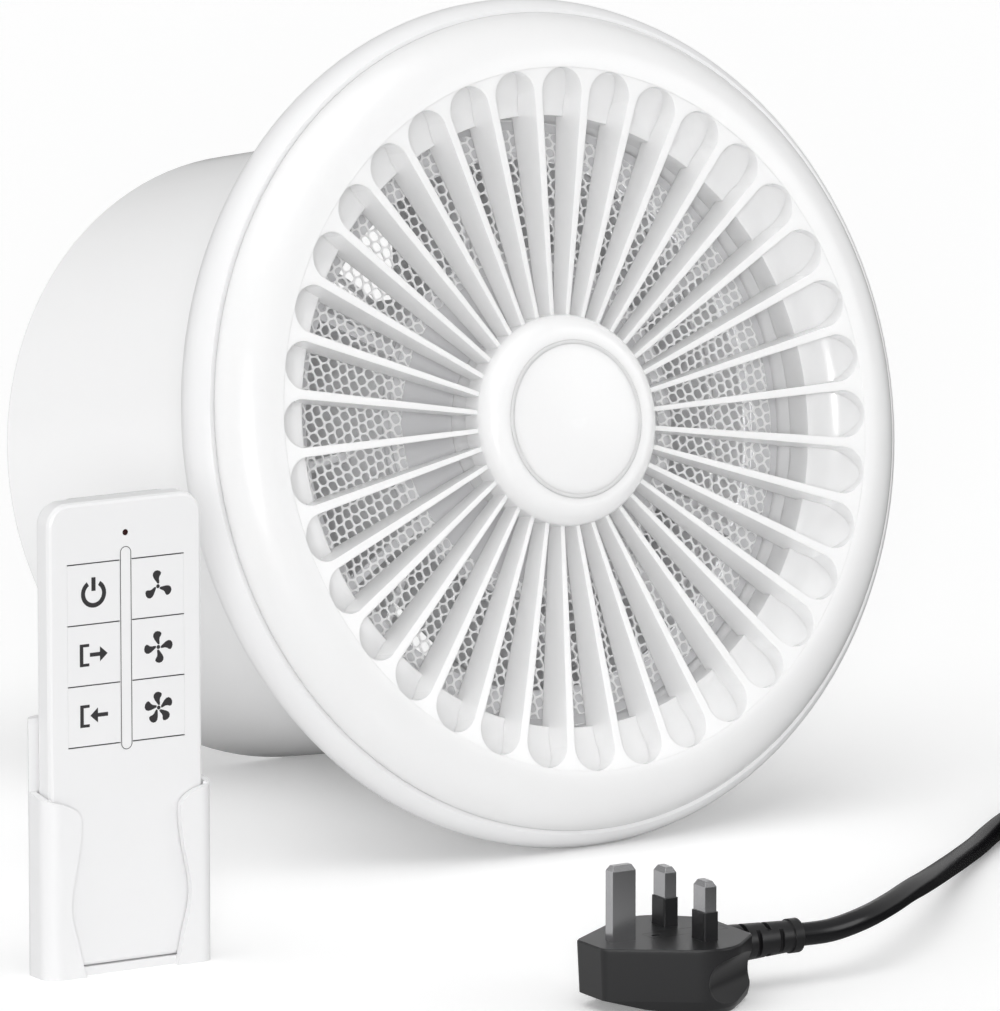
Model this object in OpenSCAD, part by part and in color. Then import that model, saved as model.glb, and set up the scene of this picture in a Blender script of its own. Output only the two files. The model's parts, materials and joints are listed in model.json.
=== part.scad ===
/* [Fan body] */
// Outside diameter of the bezel
bezel_d = 268; // [265:1:274]
// Outside diameter of the duct
duct_d = 198; // [196:0.5:200]
// Wall thickness of the duct
duct_wall = 2.5; // [2:0.1:2.8]
// Distance from the widest plane of the bezel to the rear end of the duct
duct_depth = 165; // [164:1:180]
// Radius of the rounded bezel rim
rim_round = 9.5; // [9.3:0.1:10]
// Thickness of the flange plate
flange_t = 2.4; // [2:0.1:3]
// Outside diameter of the collar at the front end of the duct
collar_d = 214; // [212:1:215]
// Number of screws that hold the collar to the flange
collar_screws = 6; // [4:1:8]
// Pitch circle of the four wall screw holes in the flange
wall_pcd = 224; // [223:0.5:225]
// Diameter of the wall screw holes
wall_hole_d = 5; // [4:0.5:5.5]
// Thickness of the foam seal behind the flange
gasket_t = 2.4; // [2:0.1:3]

/* [Front panel] */
// Number of radial slots in the grille
slots = 36; // [32:1:40]
// Diameter of the circle through the rounded ends of the slots
slot_circle_d = 221; // [219:1:222]
// Width of a fin where it meets the hub
fin_root_w = 1.5; // [1.2:0.1:1.8]
// Width of a fin at the rounded slot end
fin_tip_w = 3; // [2.6:0.1:3.6]
// Height of the crown of the panel above the widest plane of the bezel
crown_h = 18.3; // [17.5:0.1:19]
// Height of the front edge of the fins where they meet the hub
fin_root_h = 10; // [9:0.5:11]
// Depth of the rear edge of the fins behind the widest plane
fin_back = 3; // [2:0.5:3]
// Radius of the hollow scoop at each slot end
scoop_r = 13.8; // [13.5:0.1:14.5]
// Wall thickness of the panel
panel_t = 2.4; // [2:0.1:2.6]
// Diameter of the hub
hub_d = 66.6; // [64:0.2:68]
// Diameter of the cap in the hub
cap_d = 48.2; // [46:0.2:49]
// Height of the hub above the widest plane
hub_h = 16; // [15:0.1:17]

/* [Insect screen] */
// Depth of the screen behind the widest plane of the bezel
screen_z = 9.5; // [9:0.5:11]
// Diameter of the solid centre disc of the screen
disc_d = 106; // [104:1:108]
// Inside diameter of the outer ring of the screen
screen_open_d = 172; // [170:1:174]
// Spacing of the hexagonal gaps in the mesh
mesh_pitch = 7.4; // [7.2:0.1:8]
// Width of the bars of the mesh
mesh_bar = 0.9; // [0.7:0.1:1.2]

/* [Motor and impeller] */
// Diameter of the motor cup and of the impeller hub
cup_d = 90; // [88:0.5:92]
// Diameter of the motor can
motor_d = 76; // [72:0.5:78]
// Diameter of the motor shaft
shaft_d = 8; // [7:0.5:8]
// Number of impeller blades
blades = 7; // [5:1:9]
// Diameter across the blade tips
impeller_d = 187; // [184:0.5:188]
// Blade angle from the plane of rotation at the hub
blade_root_angle = 52; // [46:1:54]
// Blade angle from the plane of rotation at the tip
blade_tip_angle = 30; // [26:1:34]
// Blade width at the hub
blade_root_chord = 38; // [34:1:40]
// Blade width at the tip
blade_tip_chord = 60; // [54:1:64]
// Number of guide vanes that carry the motor cup
vanes = 7; // [5:1:7]
// Thickness of a guide vane
vane_t = 2.4; // [2:0.1:3]

/* [Remote and holder] */
// Width of the remote
remote_w = 52; // [50:1:54]
// Height of the remote
remote_h = 140.5; // [138:0.5:146]
// Thickness of the remote
remote_t = 8; // [8:0.1:9]
// Travel of a key
key_travel = 0.4; // [0.3:0.05:0.4]
// Width of a key
key_w = 17.6; // [17:0.1:17.6]
// Spacing of the keys
key_pitch = 18.4; // [18:0.1:18.6]
// Height of the holder at the front
holder_h = 54; // [50:1:58]
// Height of the back plate of the holder
holder_back_h = 78; // [76:1:82]

/* [Plug and cord] */
// Diameter of the cord
cord_d = 7; // [6.6:0.1:7]
// Width of the plug body
plug_w = 50; // [48:0.5:52]
// Height of the plug body on its back
plug_h = 20; // [18:0.5:22]
// Turns of the coil in each of its two layers
coil_turns = 2.54; // [2.53:0.01:2.55]
// Radius of the outer turns of the coil at the middle of the cord
coil_r = 49; // [48.8:0.1:49.2]

/* [Hidden] */
$fn = 96;

// General clearances
gap = 0.3;
fit = 0.05;
eps = 0.1;

// Colours
white = [0.93, 0.93, 0.93];
shade_white = [0.86, 0.86, 0.87];
mesh_white = [0.95, 0.95, 0.95];
black = [0.09, 0.09, 0.1];
steel = [0.72, 0.73, 0.75];
copper = [0.72, 0.42, 0.22];
board_green = [0.1, 0.36, 0.2];
foam_grey = [0.25, 0.25, 0.26];

// Fan radii, and heights along its axis from the widest plane of the bezel, front positive
bezel_r = bezel_d / 2;
duct_r = duct_d / 2;
duct_in = duct_r - duct_wall;
duct_swell = 0.6;
spigot_front = -62;
rim_c = bezel_r - rim_round;
rim_z = -1;
seam_z = 6.7;
seam_gap = 0.4;
edge_round = 1.5;
flange_front = -6;
flange_back = flange_front - flange_t;
collar_t = 2.5;
collar_front = flange_front + collar_t;
collar_r = collar_d / 2;
collar_screw_r = duct_r + 5;
rim_inner = rim_c + 3.2;
rim_core = rim_round - 2.4;
gasket_in = duct_r + duct_swell + 0.9;
gasket_out = rim_c - 6.5;
peg_r = 2.2;
peg_circle = (duct_r + duct_swell + rim_inner) / 2;
peg_start = 40;
grommet_r = 4.1;
grommet_flange_r = 6;
grommet_flange_t = 1.6;

// Front panel
crown_r = rim_c + 4.3;
crown_c = rim_c - 12.5;
crown_round = crown_h - crown_cz();
function crown_cz() = let (a = crown_r - crown_c, s = seam_z + seam_gap)
    (crown_h * crown_h - a * a - s * s) / (2 * (crown_h - s));
slot_tip = slot_circle_d / 2;
throat_r = duct_in - 0.1;
throat_wall = panel_t;
scoop_c = slot_tip - 13;
scoop_bottom = 6.7;
scoop_cz = scoop_bottom + scoop_r;
hub_r = hub_d / 2;
hub_shoulder = 6;
hub_tube_r = hub_r - 3.3;
cap_r = cap_d / 2;
cap_seat = hub_h - 3.2;
cap_rise = 1.2;
boss_r = 3.5;
boss_circle = 20;
slot_step = 360 / slots;

// Screen
disc_r = disc_d / 2;
screen_open_r = screen_open_d / 2;
screen_t = 2;
screen_lip = 2;
mesh_t = 0.6;
screen_front = -screen_z;
mesh_back = screen_front - 0.8;
screen_outer = duct_in - 0.7;

// Motor line, from the cup to the rear end
cup_r = cup_d / 2;
cup_wall = 2.5;
cup_front = -22;
cup_back = -88;
mount_seat = -78;
ledge_t = 4;
ledge_w = 7;
mount_screw_r = duct_in - 4.3;
vane_front = -46;
vane_back = mount_seat + 2;
motor_r = motor_d / 2;
motor_wall = 2;
motor_back = cup_back + cup_wall;
motor_front = -50;
bearing_r = 9;
bearing_w = 6;
shaft_r = shaft_d / 2;
stator_in = 24;
air_gap = 0.4;
stack_back = motor_back + motor_wall + bearing_w + gap;
stack_front = motor_front - bearing_w - gap;
winding_h = 2.8;
bell_t = 2;
board_z = -32;
board_t = 1.6;
board_r = cup_r - cup_wall - 2.5;
standoff_circle = 32;
hub_front_z = -98;
hub_back_z = -146;
blade_z = -121;
web_z = -138;
web_t = 3;
nut_t = 5;
washer_t = 1.5;
shaft_front = motor_front - 0.2;
shaft_back = hub_back_z - 0.5;
guard_t = 3;
guard_back = -duct_depth + 1;
lead_angle = -45;
lead_z = -38;
lead_r = 2.9;
sleeve_r = 4.6;

// Power inlet on the side of the duct, open to the rear
inlet_front = -14;
inlet_back = -58;
inlet_w = 34;
inlet_top = duct_r + 26;
inlet_wall = 2.4;
socket_w = 24.2;
socket_h = 16.6;
socket_depth = 16;
socket_r = duct_r + 13.5;
socket_rim = 2;

// Pose of the fan: it leans back on the rim of its bezel and the rear edge of its duct
lean_dz = rim_z + duct_depth - edge_round;
lean_dr = rim_c - duct_r + edge_round;
tilt = atan2(lean_dr, lean_dz) + asin((rim_round - edge_round) / norm([lean_dr, lean_dz]));
axis_h = rim_c * cos(tilt) - rim_z * sin(tilt) + rim_round;
rear_reach = (duct_depth - edge_round + rim_z) * cos(tilt)
    + (rim_c + duct_r - edge_round) * sin(tilt) + edge_round;

// Remote and holder, turned a little from the fan
side_yaw = -4;
holder_wall = 2.2;
pocket_gap = 0.5;
holder_w = remote_w + 2 * pocket_gap + 2 * holder_wall;
holder_back_t = 4;
holder_d = remote_t + 2 * pocket_gap + holder_wall + holder_back_t;
holder_round = 5;
holder_floor = 2.6;
holder_dx = 213;
holder_dy = -55;
remote_dy = (holder_wall - holder_back_t) / 2;
holder_half_x = holder_round + (holder_w / 2 - holder_round) * cos(side_yaw)
    - (holder_d / 2 - holder_round) * sin(side_yaw);
holder_half_y = holder_round + (holder_d / 2 - holder_round) * cos(side_yaw)
    - (holder_w / 2 - holder_round) * sin(side_yaw);

// Places on the floor, with the middle of the whole set at the origin
fan_x = (holder_dx + holder_half_x - bezel_r) / 2;
rim_y = -(rear_reach + holder_dy - holder_half_y) / 2;
axis_y = rim_y + rim_z * cos(tilt) + rim_c * sin(tilt);
holder_x = fan_x - holder_dx;
holder_y = rim_y + holder_dy;

// Remote
remote_round = 7;
shell_face = 1.2;
shell_side = 1.8;
split_y = 0;
key_flange = 0.5;
key_lip = 0.8;
key_line = 0.4;
key_side_gap = 0.05;
key_top = remote_h - 18.5;
strip_w = 3.8;
strip_groove = 0.3;
board_thick = 0.8;
dome_h = 0.15;
battery_r = 10;
battery_t = 3.2;
battery_z = remote_h - 23;
cover_w = 30;
cover_h = 34;
cover_t = 0.9;

// Plug
plug_dx = -98.2;
plug_dy = -183.7;
plug_yaw = -4;
pin_pitch = 22.23;
line_pin = [3.97, 6.35, 17.7];
earth_pin = [7.92, 3.97, 22.73];
pin_half = pin_pitch / 2;
sleeve_h = 8.5;
pin_root = 3;
relief_start = 15.3;
relief_end = 39;
relief_z = 14.2;
relief_r1 = 5.8;
relief_r2 = 4.7;
plug_front = 16;
plug_back = -33;

module ring(r1, r2, z1, z2) {
    translate([0, 0, z1]) difference() {
        cylinder(r = r2, h = z2 - z1);
        translate([0, 0, -1]) cylinder(r = r1, h = z2 - z1 + 2);
    }
}

module rod(r, z1, z2) {
    translate([0, 0, z1]) cylinder(r = r, h = z2 - z1);
}

module around(n, r, start = 0) {
    for (i = [0 : n - 1]) rotate([0, 0, start + i * 360 / n]) translate([r, 0, 0]) children();
}

module box2(x1, y1, x2, y2) {
    translate([x1, y1]) square([x2 - x1, y2 - y1]);
}

module round_rect(w, h, r) {
    square([w - 2 * r, h], center = true);
    square([w, h - 2 * r], center = true);
    for (x = [-1, 1], y = [-1, 1]) translate([x * (w / 2 - r), y * (h / 2 - r)]) circle(r = r);
}

module screw(r, length, head_r, head_h) {
    translate([0, 0, -length]) cylinder(r = r, h = length);
    difference() {
        cylinder(r = head_r, h = head_h);
        translate([0, 0, head_h - 0.8]) for (a = [0, 90]) rotate([0, 0, a])
            cube([head_r * 1.1, 0.7, 1.8], center = true);
    }
}

// Fan frame: the axis points to the front, x to the right and y up
module fan_pose() {
    translate([fan_x, axis_y, axis_h]) rotate([90 - tilt, 0, 0]) children();
}

module holder_pose() {
    translate([holder_x, holder_y, 0]) rotate([0, 0, side_yaw]) children();
}

// Remote frame: x across the face, y into the remote, z up, origin at the foot of its middle
module remote_pose() {
    holder_pose() translate([0, remote_dy, holder_floor + gap / 2]) children();
}

// Plug frame: x along the cord, y across, z up out of the pin face's side
module plug_pose() {
    translate([fan_x + plug_dx, rim_y + plug_dy, 0]) rotate([0, 0, plug_yaw]) children();
}

module duct_housing() {
    color(white) fan_pose() difference() {
        rotate_extrude() {
            polygon([
                [duct_in, -duct_depth + edge_round], [duct_r, -duct_depth + edge_round], [duct_r, spigot_front],
                [duct_r + duct_swell, inlet_front], [duct_r + duct_swell, collar_front], [duct_in, collar_front]]);
            box2(duct_in, -duct_depth, duct_r - edge_round, -duct_depth + edge_round);
            translate([duct_r - edge_round, -duct_depth + edge_round]) circle(r = edge_round);
            box2(duct_r - eps, flange_front, collar_r, collar_front);
            box2(duct_in - ledge_w, mount_seat - ledge_t, duct_in + eps, mount_seat);
        }
        around(collar_screws, collar_screw_r, 30) rod(1.7, flange_front - 1, collar_front + 1);
        around(4, peg_circle, peg_start) rod(grommet_flange_r + gap, flange_front - 1, collar_front + 1);
        around(4, mount_screw_r, mount_screw_start()) rod(1.3, mount_seat - ledge_t - 1, mount_seat + 1);
        lead_line(duct_in - 2, duct_r + 2, lead_r + 0.4);
    }
}

function mount_screw_start() = lead_angle + 18;

module lead_line(r1, r2, r) {
    rotate([0, 0, lead_angle]) translate([r1, 0, lead_z]) rotate([0, 90, 0]) cylinder(r = r, h = r2 - r1);
}

module flange_section() {
    difference() {
        union() {
            box2(duct_r + duct_swell + gap, flange_back, rim_c, flange_front);
            intersection() {
                translate([rim_c, rim_z]) circle(r = rim_round);
                box2(rim_c - rim_round, rim_z - rim_round, bezel_r, seam_z);
            }
        }
        box2(duct_r, flange_front, rim_inner, seam_z + 1);
        intersection() {
            translate([rim_c, rim_z]) circle(r = rim_core);
            box2(rim_c, flange_front, bezel_r, seam_z - 2.7);
        }
    }
}

module mounting_flange() {
    color(white) fan_pose() difference() {
        rotate_extrude() flange_section();
        around(collar_screws, collar_screw_r, 30) rod(1.3, flange_back - 1, flange_front + 1);
        around(4, wall_pcd / 2, 0) rod(wall_hole_d / 2, flange_back - 3, flange_front + 1);
        around(4, peg_circle, peg_start) rod(grommet_r + fit, flange_back - 3, flange_front + 1);
    }
}

module flange_gasket() {
    color(foam_grey) fan_pose() difference() {
        ring(gasket_in, gasket_out, flange_back - gasket_t, flange_back);
        around(4, wall_pcd / 2, 0) rod(wall_hole_d / 2 + 0.3, flange_back - gasket_t - 1, flange_back + 1);
    }
}

module flange_screws() {
    color(steel) fan_pose() around(collar_screws, collar_screw_r, 30)
        translate([0, 0, collar_front]) screw(1.2, collar_t + flange_t - 0.2, 2.8, 2);
}

module panel_grommets() {
    color(black) fan_pose() around(4, peg_circle, peg_start) difference() {
        union() {
            rod(grommet_r, flange_back, flange_front + eps);
            rod(grommet_flange_r, flange_front, flange_front + grommet_flange_t);
        }
        rod(peg_r + 0.1, flange_back - 1, flange_front + grommet_flange_t + 1);
    }
}

// Plan of one slot: straight sides that leave tapered fins, and a round outer end
module slot_plan() {
    end_c = slot_tip - slot_end_r();
    polygon([
        [hub_r - 2, -slot_half(hub_r - 2)], [end_c, -slot_half(end_c)],
        [end_c, slot_half(end_c)], [hub_r - 2, slot_half(hub_r - 2)]]);
    translate([end_c, 0]) circle(r = slot_end_r());
}

function fin_w(r) = fin_root_w + (fin_tip_w - fin_root_w) * (r - hub_r) / (slot_tip - 7.5 - hub_r);
function slot_half(r) = r * tan(slot_step / 2) - fin_w(r) / 2 / cos(slot_step / 2);
function slot_end_r() = slot_half(slot_tip - 7.5) * 0.996;

function fin_top(r) = fin_root_h + (crown_h - fin_root_h) * (r - hub_r) / (crown_c - hub_r);

// Half section of the panel with no slots: fins' ring, scooped ring, dome and skirt
module panel_section() {
    polygon([
        [hub_tube_r - 1, -fin_back], [throat_r + eps, -fin_back],
        [throat_r + eps, fin_top(throat_r + eps)], [hub_tube_r - 1, fin_top(hub_tube_r - 1)]]);
    box2(throat_r, collar_front + gap, throat_r + throat_wall, scoop_bottom);
    box2(min(slot_tip, crown_c), crown_h - panel_t, crown_c + eps, crown_h);
    intersection() {
        polygon([
            [throat_r, 0], [crown_c, 0], [crown_c, crown_h], [throat_r, fin_top(throat_r)]]);
        union() {
            translate([scoop_c, scoop_cz]) circle(r = scoop_r + panel_t);
            box2(throat_r, 0, throat_r + throat_wall, crown_h);
        }
    }
    intersection() {
        difference() {
            translate([crown_c, crown_cz()]) circle(r = crown_round);
            translate([crown_c, crown_cz()]) circle(r = crown_round - panel_t);
        }
        box2(crown_c, seam_z + seam_gap, bezel_r, crown_h + 1);
    }
    box2(rim_inner - gap - panel_t, 0, rim_inner - gap, seam_z + seam_gap + 1.5);
}

// Section of the space that the slots open: all of it over the fins, above the scoop outside
module slot_space() {
    box2(hub_r, -fin_back - 1, throat_r, crown_h + 4);
    box2(throat_r - eps, scoop_cz, slot_tip + 1, crown_h + 4);
    intersection() {
        translate([scoop_c, scoop_cz]) circle(r = scoop_r);
        box2(throat_r - eps, scoop_bottom - 1, slot_tip + 1, scoop_cz + 1);
    }
}

module hub_section() {
    box2(0, cap_seat - panel_t, hub_r - hub_shoulder, cap_seat);
    box2(cap_r + gap, cap_seat - eps, hub_r - hub_shoulder, hub_h);
    intersection() {
        translate([hub_r - hub_shoulder, hub_h - hub_shoulder]) circle(r = hub_shoulder);
        box2(hub_r - hub_shoulder - eps, hub_h - hub_shoulder, hub_r, hub_h);
    }
    box2(hub_tube_r - 0.5, fin_root_h - 4, hub_r, hub_h - hub_shoulder);
    box2(hub_tube_r - panel_t, screen_front, hub_tube_r, cap_seat - eps);
}

module front_grille() {
    color(white) fan_pose() {
        difference() {
            union() {
                rotate_extrude() panel_section();
                rotate_extrude() hub_section();
            }
            intersection() {
                rotate_extrude() slot_space();
                for (i = [0 : slots - 1]) rotate([0, 0, (i + 0.5) * slot_step])
                    translate([0, 0, -fin_back - 1]) linear_extrude(crown_h + 8) slot_plan();
            }
        }
        around(4, peg_circle, peg_start) rod(peg_r, flange_back + 0.2, crown_h - panel_t + 0.5);
        around(3, boss_circle, 30) difference() {
            rod(boss_r, screen_front, cap_seat - eps);
            rod(1.3, screen_front - 1, screen_front + 8);
        }
    }
}

module hub_cap() {
    dome = (cap_r * cap_r + cap_rise * cap_rise) / (2 * cap_rise);
    color(white) fan_pose() rotate_extrude() intersection() {
        box2(0, cap_seat, cap_r, hub_h + 2);
        translate([0, hub_h + 0.2 + cap_rise - dome]) circle(r = dome, $fn = 720);
    }
}

module screen_frame() {
    color(white) fan_pose() difference() {
        union() {
            rotate_extrude() {
                box2(0, screen_front - 1.6, disc_r, screen_front);
                box2(disc_r - 4, screen_front - screen_t, disc_r + screen_lip, mesh_back - 0.05);
                box2(screen_open_r, screen_front - screen_t, screen_outer, screen_front);
                box2(screen_open_r - screen_lip, screen_front - screen_t, screen_open_r + eps, mesh_back - 0.05);
            }
            for (i = [0 : 5]) rotate([0, 0, i * 60 + 30])
                translate([disc_r, -1.5, screen_front - screen_t])
                    cube([screen_open_r - disc_r + eps, 3, mesh_back - 0.05 - screen_front + screen_t]);
        }
        around(3, boss_circle, 30) rod(1.7, screen_front - 3, screen_front + 1);
    }
}

module insect_mesh() {
    inner = disc_r + 0.1;
    outer = screen_open_r - 0.1;
    hole_r = (mesh_pitch - mesh_bar) / sqrt(3);
    row = mesh_pitch * sqrt(3) / 2;
    n = ceil(outer / row);
    color(mesh_white) fan_pose() translate([0, 0, mesh_back]) linear_extrude(mesh_t) difference() {
        circle(r = outer);
        circle(r = inner);
        for (j = [-n : n], i = [-n : n]) {
            x = (i + (abs(j) % 2) / 2) * mesh_pitch;
            y = j * row;
            r = norm([x, y]);
            if (r > inner + hole_r + 0.6 && r < outer - hole_r - 0.6)
                translate([x, y]) rotate(30) circle(r = hole_r, $fn = 6);
        }
    }
}

module screen_screws() {
    color(steel) fan_pose() around(3, boss_circle, 30)
        translate([0, 0, screen_front - 1.6]) rotate([180, 0, 0]) screw(1.25, 7, 2.6, 1.8);
}

module guide_vane() {
    bend = 48;
    length = vane_front - vane_back;
    translate([cup_r - 1, 0, (vane_front + vane_back) / 2]) rotate([90, 0, 90])
        linear_extrude(duct_in - 0.3 - 0.9 - cup_r + 1) intersection() {
            translate([-bend, 0]) difference() {
                circle(r = bend + vane_t / 2);
                circle(r = bend - vane_t / 2);
            }
            square([bend, length], center = true);
        }
}

module motor_mount() {
    outer = duct_in - 0.3;
    color(shade_white) fan_pose() difference() {
        union() {
            ring(cup_r - cup_wall, cup_r, cup_back, cup_front);
            ring(6, cup_r - cup_wall + eps, cup_back, motor_back);
            ring(outer - 6.7, outer, mount_seat, mount_seat + 3);
            ring(outer - 1.8, outer, mount_seat + 3 - eps, vane_front + 2);
            for (i = [0 : vanes - 1]) rotate([0, 0, lead_angle + (i + 0.5) * 360 / vanes]) guide_vane();
        }
        around(4, mount_screw_r, mount_screw_start()) rod(1.7, mount_seat - 1, mount_seat + 4);
        around(4, motor_r - 10, 45) rod(2.2, cup_back - 1, motor_back + 1);
        lead_line(cup_r - cup_wall - 2, cup_r + 2, lead_r + 0.4);
    }
}

module mount_screws() {
    color(steel) fan_pose() around(4, mount_screw_r, mount_screw_start())
        translate([0, 0, mount_seat + 3]) screw(1.2, 3 + ledge_t, 2, 1.6);
}

module motor_shell() {
    color(steel) fan_pose() difference() {
        union() {
            ring(motor_r - motor_wall, motor_r, motor_back, motor_front);
            ring(shaft_r + 1, motor_r - motor_wall + eps, motor_back, motor_back + motor_wall);
            ring(bearing_r + fit, bearing_r + 2, motor_back + motor_wall - eps, motor_back + motor_wall + 6);
        }
        around(4, motor_r - 10, 45) rod(2.05, motor_back - 1, motor_back + motor_wall + 1);
    }
}

module motor_end_bell() {
    bearing_seat = motor_front - bearing_w;
    color(steel) fan_pose() {
        rod(motor_r, motor_front, motor_front + bell_t);
        ring(motor_r - motor_wall - 3, motor_r - motor_wall - fit, motor_front - 2.5, motor_front + eps);
        ring(bearing_r + fit, bearing_r + 2, bearing_seat, motor_front + eps);
        around(3, standoff_circle, 90) difference() {
            rod(2.6, motor_front + bell_t - eps, board_z);
            rod(1.1, board_z - 6, board_z + 1);
        }
    }
}

module motor_stator() {
    teeth = 12;
    color([0.45, 0.45, 0.47]) fan_pose() translate([0, 0, stack_back])
        linear_extrude(stack_front - stack_back) difference() {
            circle(r = motor_r - motor_wall - fit);
            circle(r = stator_in);
            for (i = [0 : teeth - 1]) rotate((i + 0.5) * 360 / teeth) translate([stator_in + 5, 0]) {
                circle(r = 2.2);
                translate([-5, -0.8]) square([5, 1.6]);
            }
        }
}

module motor_windings() {
    color(copper) fan_pose() for (z = [stack_back - winding_h - 0.1, stack_front + 0.1])
        rotate_extrude() translate([stator_in + 5, z + winding_h / 2]) round_rect(8, winding_h, 1.2);
}

module motor_rotor() {
    color([0.55, 0.55, 0.58]) fan_pose() ring(shaft_r + 0.02, stator_in - air_gap, stack_back, stack_front);
}

module motor_shaft() {
    color(steel) fan_pose() rod(shaft_r, shaft_back, shaft_front);
}

module bearing(z) {
    ring(shaft_r + 0.03, shaft_r + 2, z, z + bearing_w - 0.2);
    ring(shaft_r + 2 - eps, bearing_r - 2 + eps, z + 0.8, z + bearing_w - 1);
    ring(bearing_r - 2, bearing_r, z, z + bearing_w - 0.2);
}

module front_bearing() {
    color(steel) fan_pose() bearing(motor_front - bearing_w);
}

module rear_bearing() {
    color(steel) fan_pose() bearing(motor_back + motor_wall);
}

module motor_screws() {
    color(steel) fan_pose() around(4, motor_r - 10, 45)
        translate([0, 0, cup_back]) rotate([180, 0, 0]) screw(2, cup_wall + motor_wall, 3.4, 2.2);
}

module control_board() {
    top = board_z + board_t;
    color(board_green) fan_pose() {
        difference() {
            rod(board_r, board_z, top);
            around(3, standoff_circle, 90) rod(1.3, board_z - 1, top + 1);
        }
        translate([14, -16, top - eps]) cylinder(r = 6, h = 5.5);
        translate([-26, -14, top - eps]) cube([16, 12, 5]);
        translate([-20, 8, top - eps]) cube([10, 14, 4]);
        translate([4, 8, top - eps]) cube([7, 7, 1.4]);
        translate([20, -4, top - eps]) cube([8, 10, 5]);
    }
}

module board_screws() {
    color(steel) fan_pose() around(3, standoff_circle, 90)
        translate([0, 0, board_z + board_t]) screw(1.05, 6, 2, 1.4);
}

module driver_cover() {
    color(shade_white) fan_pose() {
        rod(cup_r, cup_front, cup_front + 2.5);
        ring(cup_r - cup_wall - 2, cup_r - cup_wall - gap, cup_front - 4, cup_front + eps);
    }
}

// Blade section at radius r: a thin cambered profile on a cylinder, set at its own angle
function blade_mix(f, a, b) = a + (b - a) * f;
function blade_point(r, f, s, side) =
    let (c = blade_mix(f, blade_root_chord, blade_tip_chord),
         pitch = blade_mix(pow(f, 0.8), blade_root_angle, blade_tip_angle),
         t = blade_mix(f, 3.4, 2) * (0.25 + 2.6 * sqrt(max(s, 0)) * (1 - s)) / 1.25,
         camber = 0.07 * c * 4 * s * (1 - s),
         u = (s - 0.5) * c,
         v = camber + side * t / 2,
         along = u * cos(pitch) - v * sin(pitch),
         rise = u * sin(pitch) + v * cos(pitch),
         sweep = 10 * f)
    let (a = along / r * 180 / PI + sweep)
    [r * cos(a), r * sin(a), rise];

blade_steps = 8;
chord_steps = 7;
blade_in = cup_r - 1.2;
blade_out = impeller_d / 2;

module blade() {
    ring_n = 2 * chord_steps;
    points = [for (i = [0 : blade_steps]) let (f = i / blade_steps, r = blade_mix(f, blade_in, blade_out))
        for (j = [0 : ring_n - 1])
            let (s = j < chord_steps ? j / chord_steps : (ring_n - j) / chord_steps)
            blade_point(r, f, s, j < chord_steps ? (j == 0 ? 0 : 1) : (j == chord_steps ? 0 : -1))];
    sides = [for (i = [0 : blade_steps - 1], j = [0 : ring_n - 1])
        let (a = i * ring_n + j, b = i * ring_n + (j + 1) % ring_n, c = b + ring_n, d = a + ring_n)
        each [[a, b, c], [a, c, d]]];
    last = blade_steps * ring_n;
    caps = [for (j = [1 : chord_steps - 1])
        let (p = j, q = ring_n - j, p2 = j + 1, q2 = ring_n - j - 1)
        each (j == chord_steps - 1
            ? [[p, q, p2], [last + p, last + p2, last + q]]
            : [[p, q, p2], [p2, q, q2], [last + p, last + p2, last + q], [last + p2, last + q2, last + q]])];
    noses = [[0, ring_n - 1, 1], [last, last + 1, last + ring_n - 1]];
    polyhedron(points, concat(sides, caps, noses), convexity = 4);
}

module impeller() {
    color(white) fan_pose() {
        ring(cup_r - cup_wall, cup_r, hub_back_z, hub_front_z);
        ring(shaft_r + fit, cup_r - cup_wall + eps, web_z, web_z + web_t);
        ring(shaft_r + fit, 10, web_z + web_t - eps, web_z + 26);
        for (i = [0 : blades - 1]) rotate([0, 0, i * 360 / blades]) translate([0, 0, blade_z]) blade();
    }
}

module impeller_washer() {
    color(steel) fan_pose() ring(shaft_r + fit, 9, web_z - washer_t, web_z);
}

module impeller_nut() {
    color(steel) fan_pose() translate([0, 0, web_z - washer_t - nut_t]) difference() {
        cylinder(r = 7.5, h = nut_t, $fn = 6);
        translate([0, 0, -1]) cylinder(r = shaft_r + fit, h = nut_t + 2);
    }
}

module rear_guard() {
    guard_front = guard_back + guard_t;
    ring_gap = 13;
    rings = 4;
    color(white) fan_pose() difference() {
        union() {
            ring(duct_in - 3.2, duct_in - 0.2, guard_back, guard_front + 3);
            rod(26, guard_back, guard_front);
            for (i = [1 : rings]) ring(26 + i * ring_gap, 28 + i * ring_gap, guard_back + 0.5, guard_front - 0.5);
            for (i = [0 : 7]) rotate([0, 0, i * 45 + 22.5])
                translate([24, -1.2, guard_back]) cube([duct_in - 26.5, 2.4, guard_t]);
        }
        rod(2, guard_back - 1, guard_front + 1);
    }
}

module lead_sleeve() {
    color(shade_white) fan_pose() difference() {
        lead_line(cup_r - 0.5, duct_in + 0.5, sleeve_r);
        lead_line(cup_r - 2, duct_r, lead_r + 0.4);
        rod(cup_r, lead_z - 10, lead_z + 10);
        difference() {
            rod(duct_r + 5, lead_z - 10, lead_z + 10);
            rod(duct_in, lead_z - 11, lead_z + 11);
        }
    }
}

module inner_lead() {
    color(black) fan_pose() lead_line(cup_r - cup_wall - 3, duct_r + 2.5, lead_r);
}

// Rounded block on the side of the duct, in radial, tangential and axial sizes
module inlet_block(r1, r2, w, z1, z2, round) {
    rotate([0, 0, lead_angle]) translate([(r1 + r2) / 2, 0, z1])
        linear_extrude(z2 - z1) round_rect(r2 - r1, w, round);
}

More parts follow.
